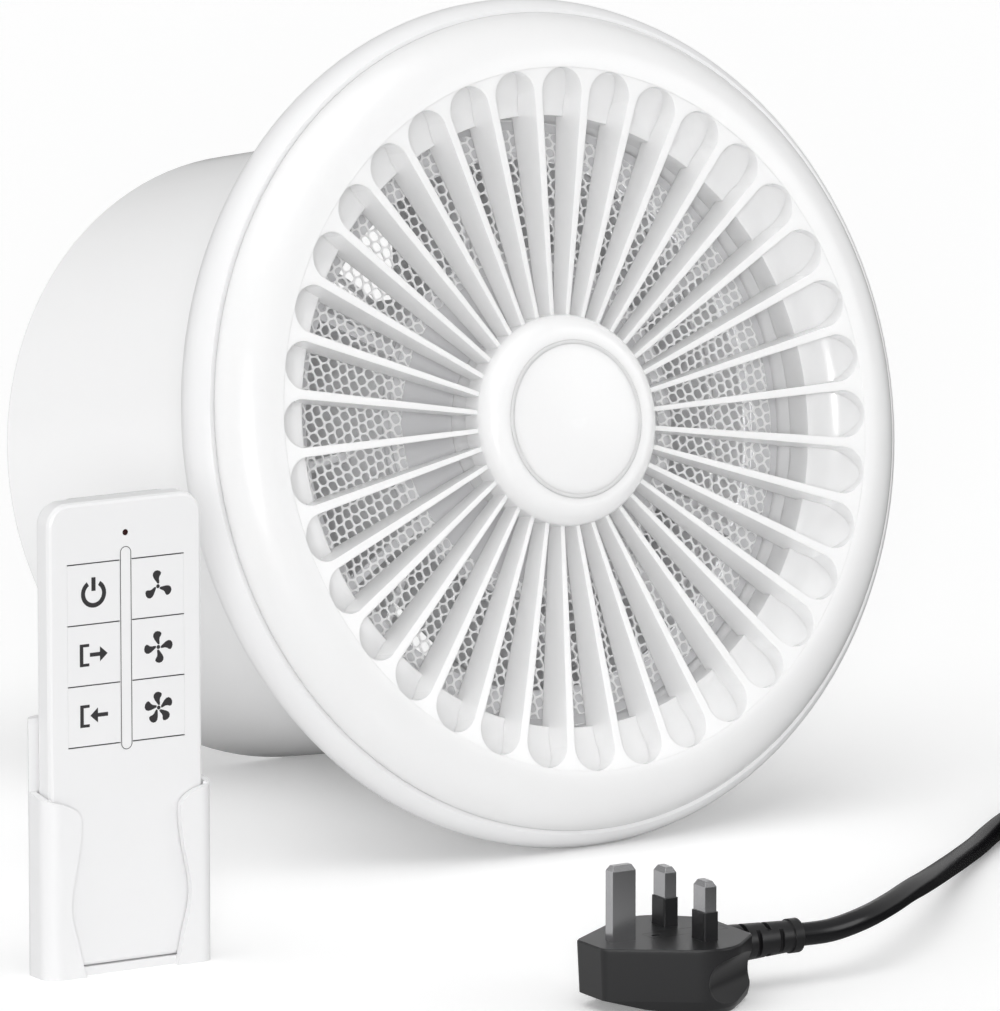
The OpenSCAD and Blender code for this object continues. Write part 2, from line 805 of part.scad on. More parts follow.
module inlet_housing() {
    color(white) fan_pose() difference() {
        inlet_block(duct_r - 8, inlet_top, inlet_w, inlet_back, inlet_front, 4);
        inlet_block(duct_r - 12, inlet_top - inlet_wall, inlet_w - 2 * inlet_wall,
            inlet_back - 1, inlet_front - inlet_wall, 2);
        translate([0, 0, spigot_front])
            cylinder(r1 = duct_r, r2 = duct_r + duct_swell, h = inlet_front - spigot_front);
        rod(duct_r + duct_swell, inlet_front - 0.5, inlet_front + 2);
    }
}

// Outline of the socket: a rectangle with two corners cut off
module socket_plan(grow = 0) {
    w = socket_w / 2 + grow;
    h = socket_h / 2 + grow;
    cut = 5;
    polygon([[-h, -w], [h - cut, -w], [h, cut - w], [h, w - cut], [h - cut, w], [-h, w]]);
}

module power_inlet() {
    color(black) fan_pose() difference() {
        inlet_block(socket_r - socket_h / 2 - socket_rim, inlet_top - inlet_wall,
            inlet_w - 2 * inlet_wall, inlet_back, inlet_back + socket_depth + 3, 2);
        rotate([0, 0, lead_angle]) translate([socket_r, 0, inlet_back - 1])
            linear_extrude(socket_depth + 1) socket_plan();
    }
}

module inlet_pins() {
    color(steel) fan_pose() rotate([0, 0, lead_angle])
        for (p = [[2, 0], [-2, -7], [-2, 7]])
            translate([socket_r + p.x - 1, p.y - 2, inlet_back + 2]) cube([2, 4, socket_depth - 2]);
}

// Free cord: a smooth curve through hand-chosen points, swept as one tube
function unit(v) = v / norm(v);
function curve_point(p, i, f) =
    let (a = p[max(i - 1, 0)], b = p[i], c = p[i + 1], d = p[min(i + 2, len(p) - 1)])
    ((2 * b) + (c - a) * f + (2 * a - 5 * b + 4 * c - d) * f * f
        + (3 * b - a - 3 * c + d) * f * f * f) / 2;
function curve(p, steps) = concat(
    [for (i = [0 : len(p) - 2], k = [0 : steps - 1]) curve_point(p, i, k / steps)], [p[len(p) - 1]]);
function path_length(p) = [for (i = [1 : len(p) - 1]) norm(p[i] - p[i - 1])] * [for (i = [1 : len(p) - 1]) 1];

module tube(p, r, sides, start_dir, end_dir) {
    n = len(p);
    dirs = [for (i = [0 : n - 1]) i == 0 ? unit(start_dir) : i == n - 1 ? unit(end_dir) : unit(p[i + 1] - p[i - 1])];
    points = [for (i = [0 : n - 1])
        let (t = dirs[i], side = unit(cross(t, [0, 0, 1])), up = cross(side, t))
        for (k = [0 : sides - 1]) let (a = (k + 0.5) * 360 / sides)
            p[i] + r * (cos(a) * side + sin(a) * up)];
    skin = [for (i = [0 : n - 2], k = [0 : sides - 1])
        let (a = i * sides + k, b = i * sides + (k + 1) % sides)
        each [[a, b, b + sides], [a, b + sides, a + sides]]];
    ends = [for (k = [1 : sides - 2])
        each [[0, k + 1, k], [(n - 1) * sides, (n - 1) * sides + k, (n - 1) * sides + k + 1]]];
    polyhedron(points, concat(skin, ends), convexity = 6);
}

cord_r = cord_d / 2;
relief_dir = [cos(plug_yaw), sin(plug_yaw), 0];
relief_tip = [fan_x + plug_dx, rim_y + plug_dy, relief_z] + relief_end * relief_dir;

// Coil: two layers that wind in and out again, clockwise
coil_centre = [214, -166];
coil_start = 118;
coil_pitch = 7.6;
layer_h = 7.5;
tie_t = 0.9;
coil_low = cord_r + tie_t + 0.05;
function coil_rise(t) = let (f = min(max((t - coil_turns + 0.25) / 0.5, 0), 1)) f * f * (3 - 2 * f);
function coil_radius(t) = coil_r - coil_pitch * (t < coil_turns ? t : 2 * coil_turns - t);
function coil_point(t) = let (a = coil_start - 360 * t, r = coil_radius(t))
    [coil_centre.x + r * cos(a), coil_centre.y + r * sin(a), coil_low + layer_h * coil_rise(t)];
coil_rings = 24;
coil_n = round(2 * coil_turns * coil_rings);
coil_path = [for (i = [0 : coil_n]) coil_point(2 * coil_turns * i / coil_n)];
coil_in = coil_path[0];
coil_in_dir = [sin(coil_start), -cos(coil_start), 0];
coil_out = coil_path[coil_n];
coil_out_angle = coil_start - 720 * coil_turns;
coil_out_dir = [sin(coil_out_angle), -cos(coil_out_angle), 0];
coil_least_gap = min([for (i = [0 : coil_n - 10], j = [i + 10 : coil_n]) norm(coil_path[i] - coil_path[j])]) - cord_d;
echo(coil_least_gap = coil_least_gap);

// Connector at the end of the lead, on the floor beside the coil
connector_dx = 48;
connector_z = 8.6;
connector_boot = 22;
connector_body = 30;
connector_nose = 16;
boot_r1 = 4.4;
boot_r2 = 6.4;
tail_end = [coil_out.x + connector_dx, coil_out.y - 2.5, connector_z];

// Route on the floor in hand-chosen round numbers, with a straight end at what it meets
plug_route = concat(
    [relief_tip, relief_tip + 12 * relief_dir],
    [[20.6, -256.3, 15.5], [36.6, -248, 16.1], [53, -236.3, 15.8], [68.2, -223.9, 14.2], [82.7, -210.7, 12.1],
     [96.8, -197.2, 9.8], [110.9, -183.7, 7.5], [125.2, -170.5, 5.6], [140, -157.6, 4.3], [155.1, -145.1, 4]],
    [coil_in - 24 * coil_in_dir - [0, 0, 0.5], coil_in - 10 * coil_in_dir, coil_in]);
tail_route = [coil_out, coil_out + cord_d * coil_out_dir, coil_out + 15 * coil_out_dir - [0, 0, 0.3],
    coil_out + 27 * coil_out_dir - [0, 0.7, 1.7], tail_end - [cord_d, 0, 0], tail_end];
echo(cord_length = path_length(curve(plug_route, 4)) + path_length(coil_path) + path_length(curve(tail_route, 4)));

module cord_plug_run() {
    color(black) tube(curve(plug_route, 4), cord_r, 12, relief_dir, coil_in_dir);
}

module cord_coil() {
    color(black) tube(coil_path, cord_r, 6, coil_in_dir, coil_out_dir);
}

module cord_tail() {
    color(black) tube(curve(tail_route, 4), cord_r, 12, coil_out_dir, [1, 0, 0]);
}

// Strap round all the turns, on the side away from the lead
module cord_tie() {
    tie_angle = -60;
    low = coil_r - coil_pitch * coil_turns - cord_r - 1.5;
    high = coil_r + cord_r + 1.2;
    top = coil_low + layer_h + cord_r + 0.3;
    color([0.15, 0.15, 0.16]) translate([coil_centre.x, coil_centre.y, 0]) rotate([0, 0, tie_angle])
        translate([(low + high) / 2, 5, 0]) rotate([90, 0, 0]) linear_extrude(10) difference() {
            translate([0, (top + tie_t) / 2]) round_rect(high - low + 2 * tie_t, top + tie_t, 4);
            translate([0, (top + tie_t) / 2]) round_rect(high - low, top - tie_t, 3.2);
        }
}

module connector_pose() {
    translate([tail_end.x, tail_end.y, connector_z]) rotate([0, 90, 0]) rotate([0, 0, 180]) children();
}

module lead_connector() {
    color(black) connector_pose() difference() {
        union() {
            cylinder(r1 = boot_r1, r2 = boot_r2, h = connector_boot);
            translate([0, 0, connector_boot - eps]) linear_extrude(connector_body + eps)
                round_rect(2 * connector_z - 0.2, 27, 5);
            translate([0, 0, connector_boot + connector_body - eps]) linear_extrude(connector_nose + eps)
                socket_plan(-0.4);
        }
        for (p = [[2, 0], [-2, -7], [-2, 7]])
            translate([p.x - 1.3, p.y - 2.4, connector_boot + connector_body + connector_nose - 14])
                cube([2.6, 4.8, 15]);
        for (i = [0 : 3]) translate([0, 0, 4 + i * 4]) ring(boot_r1 - 0.1 + i * 0.3, boot_r2 + 2, 0, 1.2);
    }
}

// Plan of the plug: a narrow nose at the earth pin, wide shoulders and a flat cord end
module plug_plan(grow = 0) {
    half = plug_w / 2;
    hull() {
        translate([plug_back + 3, 6]) circle(r = 3 + grow);
        translate([plug_back + 3, -6]) circle(r = 3 + grow);
        translate([-3, half - 14]) circle(r = 14 + grow);
        translate([-3, 14 - half]) circle(r = 14 + grow);
        translate([plug_front - 3, 11]) circle(r = 3 + grow);
        translate([plug_front - 3, -11]) circle(r = 3 + grow);
    }
}

module plug_body() {
    color(black) plug_pose() difference() {
        hull() {
            linear_extrude(0.5) intersection() {
                plug_plan(-2.4);
                box2(-10, -plug_w, 11, plug_w);
            }
            translate([0, 0, 1.7]) linear_extrude(0.5) intersection() {
                plug_plan(-1.3);
                box2(-22, -plug_w, plug_front, plug_w);
            }
            translate([0, 0, 4.2]) linear_extrude(1) plug_plan(-0.7);
            translate([0, 0, plug_h - 1.2]) linear_extrude(0.7) plug_plan();
            translate([0, 0, plug_h - 0.4]) linear_extrude(0.4) plug_plan(-0.4);
        }
        for (side = [-1, 1]) finger_scoop(side);
        pin_holes(pin_root);
        translate([-13, -3.3, plug_h - 1.2]) cube([26, 6.6, 2]);
        translate([relief_start, -plug_w, -1]) cube([10, 2 * plug_w, plug_h + 2]);
    }
}

// Hollow for a finger along the side of the plug, round at its inner end and open at the cord end
module finger_scoop(side) {
    translate([-1, side * (plug_w / 2 + 4.7), plug_h * 0.475]) rotate([0, 90, -side * 31]) {
        sphere(r = 8);
        cylinder(r = 8, h = 45);
    }
}

module pin_places() {
    translate([0, pin_half, 0]) children();
    translate([0, -pin_half, 0]) children();
}

module pin_holes(depth) {
    pin_places() translate([-line_pin.x / 2 - 0.5, -line_pin.y / 2 - 0.5, plug_h - depth])
        cube([line_pin.x + 1, line_pin.y + 1, depth + 1]);
    translate([-pin_pitch - earth_pin.x / 2, -earth_pin.y / 2, plug_h - depth])
        cube([earth_pin.x, earth_pin.y, depth + 1]);
}

// Flat pin with a chamfered tip
module flat_pin(size, root) {
    tip = 1.6;
    translate([-size.x / 2, -size.y / 2, plug_h - root]) cube([size.x, size.y, size.z + root - tip]);
    translate([0, 0, plug_h + size.z - tip]) intersection() {
        translate([-size.x / 2, -size.y / 2, -eps]) cube([size.x, size.y, tip + eps]);
        rotate([90, 0, 0]) translate([0, 0, -10]) linear_extrude(20)
            polygon([[-size.x / 2, -1], [size.x / 2, -1], [size.x / 2, 0], [size.x / 2 - 0.9, tip],
                [0.9 - size.x / 2, tip], [-size.x / 2, 0]]);
        rotate([90, 0, 90]) translate([0, 0, -10]) linear_extrude(20)
            polygon([[-size.y / 2, -1], [size.y / 2, -1], [size.y / 2, 0], [size.y / 2 - 0.9, tip],
                [0.9 - size.y / 2, tip], [-size.y / 2, 0]]);
    }
}

module plug_earth_pin() {
    color(steel) plug_pose() translate([-pin_pitch, 0, 0]) flat_pin(earth_pin, pin_root);
}

module plug_live_pin() {
    color(steel) plug_pose() translate([0, -pin_half, 0]) flat_pin(line_pin, pin_root);
}

module plug_neutral_pin() {
    color(steel) plug_pose() translate([0, pin_half, 0]) flat_pin(line_pin, pin_root);
}

module plug_pin_sleeves() {
    color(black) plug_pose() pin_places() translate([0, 0, plug_h - pin_root]) difference() {
        linear_extrude(pin_root + sleeve_h) round_rect(line_pin.x + 1, line_pin.y + 1, 0.6);
        translate([-line_pin.x / 2, -line_pin.y / 2, -1]) cube([line_pin.x, line_pin.y, pin_root + sleeve_h + 2]);
    }
}

module plug_fuse_carrier() {
    color([0.3, 0.3, 0.31]) plug_pose() translate([-12.9, -3.2, plug_h - 1.2]) difference() {
        cube([25.8, 6.4, 1.2]);
        translate([1.5, 2.7, 0.6]) cube([3, 1, 1]);
    }
}

module plug_strain_relief() {
    length = relief_end - relief_start;
    color(black) plug_pose() translate([relief_start, 0, relief_z]) rotate([0, 90, 0]) difference() {
        union() {
            cylinder(r1 = relief_r1, r2 = relief_r2, h = length - 2);
            translate([0, 0, length - 3]) cylinder(r = relief_r2 + 0.5, h = 3);
        }
        for (i = [0 : 3]) translate([0, 0, 4 + i * 4]) for (side = [-1, 1])
            translate([i % 2 == 0 ? side * 6 : 0, i % 2 == 0 ? 0 : side * 6, 0])
                cube([i % 2 == 0 ? 5 : 8, i % 2 == 0 ? 8 : 5, 1.5], center = true);
    }
}

// Remote: the outline seen from the front, standing on its foot
module remote_plan(inset = 0) {
    translate([0, remote_h / 2]) round_rect(remote_w - 2 * inset, remote_h - 2 * inset, remote_round - inset);
}

module slab(y1, y2) {
    translate([0, y2, 0]) rotate([90, 0, 0]) linear_extrude(y2 - y1) children();
}

face_y = -remote_t / 2;
back_y = remote_t / 2;
key_side = strip_w / 2 + 0.2;
key_edge = key_side + key_w;
key_low = key_top - 3 * key_pitch;
key_height = key_pitch - key_line;
flange_y = face_y + shell_face;
board_y1 = -0.9;
board_y2 = board_y1 + board_thick;
strip_low = key_low - 2.3;
strip_high = key_top + 4;
led_z = remote_h - 10.3;
led_r = 0.9;
cover_low = remote_h - cover_h;

// Window of one column of keys
module key_window(side) {
    x1 = key_side - key_side_gap;
    x2 = key_edge + key_side_gap;
    translate([side > 0 ? x1 : -x2, key_low - key_line / 2]) square([x2 - x1, 3 * key_pitch + key_line]);
}

module remote_front_shell() {
    color(white) remote_pose() {
        difference() {
            union() {
                slab(face_y + 1.5, split_y) remote_plan();
                hull() {
                    slab(face_y + 1.4, face_y + 1.5 + eps) remote_plan();
                    slab(face_y + 0.4, face_y + 0.5) remote_plan(0.45);
                    slab(face_y, face_y + 0.1) remote_plan(1.2);
                }
            }
            slab(flange_y, split_y + 1) remote_plan(shell_side);
            slab(face_y - 1, flange_y + 1) for (side = [-1, 1]) key_window(side);
            slab(face_y - 1, face_y + strip_groove) difference() {
                strip_plan(0.25);
                strip_plan(0);
            }
            slab(face_y - 1, flange_y + 1) translate([0, led_z]) circle(r = led_r + 0.05);
        }
        for (z = [10, 40]) slab(flange_y - eps, split_y) for (x = [-17, 17]) translate([x, z]) circle(r = 2.5);
    }
}

module strip_plan(grow) {
    r = strip_w / 2 + grow - 0.25;
    hull() {
        translate([0, strip_low + strip_w / 2]) circle(r = r);
        translate([0, strip_high - strip_w / 2]) circle(r = r);
    }
}

module remote_rear_shell() {
    color(white) remote_pose() {
        difference() {
            union() {
                slab(split_y, back_y - 1.5) remote_plan();
                hull() {
                    slab(back_y - 1.5 - eps, back_y - 1.4) remote_plan();
                    slab(back_y - 0.5, back_y - 0.4) remote_plan(0.45);
                    slab(back_y - 0.1, back_y) remote_plan(1.2);
                }
            }
            slab(split_y - 1, back_y - shell_face) remote_plan(shell_side);
            slab(back_y - 1.45, back_y - 0.55) translate([-cover_w / 2 - 1.25, cover_low - 0.2])
                square([cover_w + 2.5, cover_h + 1]);
            slab(back_y - 0.65, back_y + 1) translate([-cover_w / 2 - 0.15, cover_low - 0.2])
                square([cover_w + 0.3, cover_h + 1]);
            slab(split_y - 1, back_y - shell_face) translate([-cover_w / 2, remote_h - 3]) square([cover_w, 1]);
        }
        for (z = [10, 40]) slab(split_y, back_y - shell_face + eps) for (x = [-17, 17])
            translate([x, z]) circle(r = 2.5);
    }
}

module remote_battery_cover() {
    color(white) remote_pose() difference() {
        union() {
            slab(back_y - 1.3, back_y - 0.65) translate([-cover_w / 2 - 1.1, cover_low])
                square([cover_w + 2.2, cover_h]);
            slab(back_y - 0.7, back_y) translate([-cover_w / 2, cover_low]) square([cover_w, cover_h]);
        }
        for (i = [0 : 4]) translate([-8, back_y - 0.3, cover_low + 8 + i * 2]) cube([16, 1, 0.8]);
    }
}

module remote_board() {
    color(board_green) remote_pose() {
        difference() {
            slab(board_y1, board_y2) remote_plan(shell_side + 1.2);
            slab(board_y1 - 1, board_y2 + 1) for (x = [-17, 17], z = [10, 40]) translate([x, z]) circle(r = 3);
        }
        for (side = [-1, 1], i = [0 : 2])
            translate([side * (key_side + key_w / 2), board_y1 + eps, key_low + (i + 0.5) * key_pitch])
                rotate([90, 0, 0]) cylinder(r = 3, h = dome_h + eps);
        translate([-5, board_y2 - eps, 60]) cube([10, 1.4, 8]);
        translate([6, board_y2 - eps, 48]) cube([5, 1.6, 3]);
    }
}

module remote_led() {
    color([0.35, 0.05, 0.05]) remote_pose() {
        slab(face_y + 0.1, flange_y + 0.4) translate([0, led_z]) circle(r = led_r);
        slab(flange_y + 0.3, board_y1) translate([0, led_z]) circle(r = led_r + 0.5);
    }
}

module remote_battery() {
    color(steel) remote_pose() {
        slab(board_y2, board_y2 + 0.4) translate([0, battery_z]) circle(r = battery_r - 1);
        slab(board_y2 + 0.3, board_y2 + 2.5) translate([0, battery_z]) circle(r = battery_r);
    }
}

// One key with its flange and its nub; i counts up from the lowest row
module key(side, i) {
    x = side > 0 ? key_side : -key_edge;
    z = key_low + i * key_pitch + key_line / 2;
    nub = board_y1 - dome_h - key_travel - 0.05;
    color(white) remote_pose() {
        slab(face_y, flange_y + eps) translate([x, z]) square([key_w, key_height]);
        slab(flange_y, flange_y + 0.6) translate([x - key_flange, z]) square([key_w + 2 * key_flange, key_height]);
        translate([x + key_w / 2, nub, z + key_height / 2]) rotate([90, 0, 0])
            cylinder(r = 1.5, h = nub - flange_y - 0.5);
    }
}

module key_power() {
    key(-1, 2);
}

module key_out() {
    key(-1, 1);
}

module key_in() {
    key(-1, 0);
}

module key_speed_1() {
    key(1, 2);
}

module key_speed_2() {
    key(1, 1);
}

module key_speed_3() {
    key(1, 0);
}

// Front opening of the holder: distance from the side and share of the height, as a smooth curve
window_edge = [[13.7, -0.02], [13.2, 0], [10.7, 0.185], [8.3, 0.407], [10.7, 0.667],
    [11.9, 0.833], [11.1, 0.926], [6.7, 0.981], [1.7, 1.004]];

module holder_window() {
    edge = curve([for (p = window_edge) [holder_w / 2 - p.x, p.y * holder_h]], 5);
    n = len(edge);
    wide = holder_w / 2 - 1.7;
    polygon(concat(edge, [[wide, holder_h + 30], [-wide, holder_h + 30]],
        [for (i = [1 : n]) [-edge[n - i].x, edge[n - i].y]]));
}

module remote_holder() {
    pocket_w = remote_w + 2 * pocket_gap;
    pocket_d = remote_t + 2 * pocket_gap;
    front = -holder_d / 2;
    color(white) holder_pose() difference() {
        linear_extrude(holder_back_h) round_rect(holder_w, holder_d, holder_round);
        translate([0, remote_dy, holder_floor]) linear_extrude(holder_back_h) round_rect(pocket_w, pocket_d, 1.5);
        slab(front - 1, front + holder_wall + 0.2) holder_window();
        rotate([90, 0, 90]) translate([0, 0, -50]) linear_extrude(100) polygon([
            [front - 5, holder_h - 0.5], [holder_d / 2 - holder_back_t, holder_h + 2],
            [holder_d / 2 - holder_back_t, holder_back_h + 5],
            [front - 5, holder_back_h + 5]]);
        for (z = [24, 54]) translate([0, 0, z]) rotate([90, 0, 0]) cylinder(r = 2, h = 40, center = true);
    }
}

duct_housing();
mounting_flange();
flange_gasket();
flange_screws();
panel_grommets();
front_grille();
hub_cap();
screen_frame();
insect_mesh();
screen_screws();
motor_mount();
mount_screws();
motor_shell();
motor_end_bell();
motor_stator();
motor_windings();
motor_rotor();
motor_shaft();
front_bearing();
rear_bearing();
motor_screws();
control_board();
board_screws();
driver_cover();
impeller();
impeller_washer();
impeller_nut();
rear_guard();
lead_sleeve();
inner_lead();
inlet_housing();
power_inlet();
inlet_pins();
lead_connector();
cord_tail();
cord_coil();
cord_tie();
cord_plug_run();
plug_strain_relief();
plug_body();
plug_earth_pin();
plug_live_pin();
plug_neutral_pin();
plug_pin_sleeves();
plug_fuse_carrier();
remote_holder();
remote_front_shell();
remote_rear_shell();
remote_board();
remote_led();
remote_battery();
remote_battery_cover();
key_power();
key_out();
key_in();
key_speed_1();
key_speed_2();
key_speed_3();
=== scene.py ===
"""Looks of the duct exhaust fan, its remote control in a holder and its mains lead."""

import json
import math

import bmesh
import bpy
from mathutils import Matrix, Vector


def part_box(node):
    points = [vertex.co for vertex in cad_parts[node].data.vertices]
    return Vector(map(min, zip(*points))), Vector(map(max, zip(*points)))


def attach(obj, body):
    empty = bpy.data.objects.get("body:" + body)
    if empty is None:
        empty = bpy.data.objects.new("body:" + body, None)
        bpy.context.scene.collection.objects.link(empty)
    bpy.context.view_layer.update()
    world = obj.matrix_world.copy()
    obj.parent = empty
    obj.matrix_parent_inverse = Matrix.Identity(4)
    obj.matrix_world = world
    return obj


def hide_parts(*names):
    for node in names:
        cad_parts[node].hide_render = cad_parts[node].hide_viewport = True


MM = 0.001

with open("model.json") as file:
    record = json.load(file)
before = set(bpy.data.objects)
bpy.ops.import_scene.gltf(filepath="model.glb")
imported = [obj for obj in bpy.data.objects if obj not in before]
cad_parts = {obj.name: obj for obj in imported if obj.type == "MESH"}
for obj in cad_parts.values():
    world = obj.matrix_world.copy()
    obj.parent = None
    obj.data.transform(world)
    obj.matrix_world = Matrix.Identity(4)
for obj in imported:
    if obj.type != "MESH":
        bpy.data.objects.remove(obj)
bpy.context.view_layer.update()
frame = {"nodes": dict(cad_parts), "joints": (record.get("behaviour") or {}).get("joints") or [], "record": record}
record = frame["record"]
joints = {joint["name"]: joint for joint in frame["joints"]}


def placed(right, up, back, origin):
    """Matrix of a frame from its three axes and its origin."""
    return Matrix.Translation(origin) @ Matrix((right, up, back)).transposed().to_4x4()


# Fan frame: x to the right, y up the panel, z forward along the axis from the widest plane of the bezel
PIVOT_DEPTH = 100 * MM
FAN_RIGHT = Vector((1, 0, 0))
FAN_AXIS = Vector(joints["impeller_spin"]["axis"]).normalized()
FAN_ORIGIN = Vector(joints["impeller_spin"]["pos_m"]) + FAN_AXIS * PIVOT_DEPTH
FAN_UP = FAN_AXIS.cross(FAN_RIGHT).normalized()
FAN_PLACE = placed(FAN_RIGHT, FAN_UP, FAN_AXIS, FAN_ORIGIN)
TO_FAN = FAN_PLACE.inverted()

# Remote frame: x across the face, y into the remote, z up
REMOTE_IN = Vector(joints["key_power_press"]["axis"]).normalized()
REMOTE_RIGHT = REMOTE_IN.cross(Vector((0, 0, 1))).normalized()


# Helpers for new objects and pieces


def add_object(name, data):
    """New object in the scene."""
    thing = bpy.data.objects.new(name, data)
    bpy.context.scene.collection.objects.link(thing)
    return thing


def add_piece(name, data, material, body, place=Matrix()):
    """New piece that rides on a body and takes the material it is given."""
    piece = add_object(name, data)
    piece.matrix_world = place
    data.materials.append(material)
    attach(piece, body)
    return piece


def make_mesh(name, verts, faces):
    """New mesh from its points and the numbers of each face's points."""
    mesh = bpy.data.meshes.new(name)
    mesh.from_pydata(verts, [], faces)
    mesh.update()
    return mesh


def make_curve(name, dimensions, bevel_depth, bevel_resolution):
    """New flat or free curve with a round bevel."""
    curve = bpy.data.curves.new(name, "CURVE")
    curve.dimensions = dimensions
    curve.bevel_depth = bevel_depth
    curve.bevel_resolution = bevel_resolution
    return curve


def add_spline(curve, points, closed=False):
    """Adds straight steps through the points to a curve."""
    line = curve.splines.new("POLY")
    line.points.add(len(points) - 1)
    for spot, point in zip(line.points, points):
        spot.co = (*point, 1)
    line.use_cyclic_u = closed
    return line


# Camera, as fitted to the photo, with its angles in degrees

CAMERA_PLACE = Vector((-1.7608, -2.6100, 0.6971))
CAMERA_AZIMUTH = -35.02
CAMERA_ELEVATION = 10.68
CAMERA_REACH = 50
LENS_MM = 361.16
SENSOR_MM = 36


def direction(azimuth, elevation):
    """Unit vector towards an azimuth and elevation in degrees, with azimuth 0 at the front."""
    a, e = math.radians(azimuth), math.radians(elevation)
    return Vector((math.sin(a) * math.cos(e), -math.cos(a) * math.cos(e), math.sin(e)))


def add_camera():
    """Camera at the photo's place, which takes the photo's frame."""
    data = bpy.data.cameras.new("photo_camera")
    data.lens = LENS_MM
    data.sensor_width = SENSOR_MM
    data.clip_end = CAMERA_REACH
    data.dof.use_dof = False
    camera = add_object("photo_camera", data)
    a = math.radians(CAMERA_AZIMUTH)
    right = Vector((math.cos(a), math.sin(a), 0))
    back = direction(CAMERA_AZIMUTH, CAMERA_ELEVATION)
    camera.matrix_world = placed(right, back.cross(right), back, CAMERA_PLACE)
    bpy.context.scene.camera = camera


# Materials

# Settings of each look: its colour and roughness, further sockets of the shader, the grain as scale,
# strength and depth of fine bumps, and the radius that sharp edges seem to have
LOOKS = {
    # Glossy moulding of the front panel and the other outer parts, which lets a little light through
    "white_gloss": {
        "colour": (0.91, 0.91, 0.912),
        "roughness": 0.26,
        "sockets": {
            "Coat Weight": 0.15,
            "Coat Roughness": 0.06,
            "Subsurface Weight": 0.5,
            "Subsurface Scale": 4 * MM,
            "Subsurface Radius": (1, 1, 1),
        },
        "grain": (60, 0.03, 0.6 * MM),
        "edge_r": 0.5 * MM,
    },
    # Bright moulding of the duct: the same white plastic as the front panel, with painted light, its colour set
    # brighter than the panel's to stand for light falling on the duct
    "duct_painted_light": {
        "colour": (0.965, 0.965, 0.967),
        "roughness": 0.24,
        "sockets": {"Coat Weight": 0.2, "Coat Roughness": 0.08},
        "grain": (40, 0.03, 0.8 * MM),
        "edge_r": 0.5 * MM,
    },
    # Keys and front of the remote
    "white_key": {
        "colour": (0.85, 0.85, 0.855),
        "roughness": 0.3,
        "sockets": {"Coat Weight": 0.1, "Coat Roughness": 0.1},
    },
    # Duller moulding of the flange, of the remote's back and of its holder
    "white_matt": {
        "colour": (0.85, 0.85, 0.855),
        "roughness": 0.4,
        "sockets": {"Coat Weight": 0.1, "Coat Roughness": 0.15},
    },
    # Silky moulding of the impeller, the guard and what else is inside the duct
    "white_satin": {
        "colour": (0.9, 0.9, 0.905),
        "roughness": 0.45,
        "grain": (900, 0.05, 0.2 * MM),
        "edge_r": 0.5 * MM,
    },
    # Frame of the insect screen: white plastic greyed as painted shade for the shade it lies in behind the panel,
    # so greyer than the other white parts
    "frame_painted_shade": {"colour": (0.66, 0.66, 0.67), "roughness": 0.5},
    # Knitted threads of the insect screen
    "white_mesh": {"colour": (0.94, 0.94, 0.94), "roughness": 0.45},
    # Plug, connector and inlet
    "black_plug": {
        "colour": (0.011, 0.011, 0.012),
        "roughness": 0.33,
        "grain": (1800, 0.1, 0.1 * MM),
        "edge_r": 0.35 * MM,
    },
    # Sheath of the lead
    "black_cord": {"colour": (0.006, 0.006, 0.007), "roughness": 0.24, "grain": (400, 0.04, 0.2 * MM)},
    # Grommets and the lead inside the duct
    "black_rubber": {"colour": (0.02, 0.02, 0.02), "roughness": 0.6},
    # Foam seal behind the flange
    "foam": {"colour": (0.1, 0.1, 0.105), "roughness": 0.9, "grain": (1500, 0.8, 0.4 * MM)},
    # Bright metal of the pins and the coin cell
    "bright_pin": {
        "colour": (0.52, 0.52, 0.53),
        "roughness": 0.2,
        "sockets": {"Metallic": 1},
        "grain": (900, 0.05, 0.05 * MM),
        "edge_r": 0.25 * MM,
    },
    # Screws, nut and washer, and the can, shaft and bearings of the motor
    "zinc_steel": {
        "colour": (0.6, 0.61, 0.63),
        "roughness": 0.38,
        "sockets": {"Metallic": 1},
        "grain": (300, 0.1, 0.2 * MM),
    },
    # Stacked sheets of the stator and rotor
    "lamination": {"colour": (0.3, 0.3, 0.32), "roughness": 0.5, "sockets": {"Metallic": 0.8}},
    # Windings of the motor
    "enamel_copper": {"colour": (0.55, 0.22, 0.08), "roughness": 0.3, "sockets": {"Metallic": 0.7}},
    # Boards of the fan and the remote
    "circuit_board": {"colour": (0.03, 0.16, 0.07), "roughness": 0.45},
    # Indicator lamp, unlit
    "lamp_red": {"colour": (0.035, 0.01, 0.01), "roughness": 0.2, "sockets": {"Coat Weight": 0.5}},
    # Woven strap round the coil
    "strap": {"colour": (0.03, 0.03, 0.032), "roughness": 0.85, "grain": (2500, 0.6, 0.2 * MM)},
    # Printed signs and lines of the remote
    "print_grey": {"colour": (0.03, 0.028, 0.03), "roughness": 0.45},
}
GRAIN_DETAIL = 3
EDGE_SAMPLES = 4

# Nodes that look different from the other nodes of their slot
OWN_LOOKS = {
    # Duct: the white plastic with painted light
    "duct_housing": "duct_painted_light",
    "mounting_flange": "white_matt",
    # Screen frame: the white plastic with painted shade
    "screen_frame": "frame_painted_shade",
    "remote_front_shell": "white_key",
    "remote_rear_shell": "white_matt",
    "remote_holder": "white_matt",
    "key_power": "white_key",
    "key_out": "white_key",
    "key_in": "white_key",
    "key_speed_1": "white_key",
    "key_speed_2": "white_key",
    "key_speed_3": "white_key",
}


def shader_node(tree, kind, **inputs):
    """New shader node with the values of its inputs."""
    node = tree.nodes.new("ShaderNode" + kind)
    for key, value in inputs.items():
        node.inputs[key].default_value = value
    return node


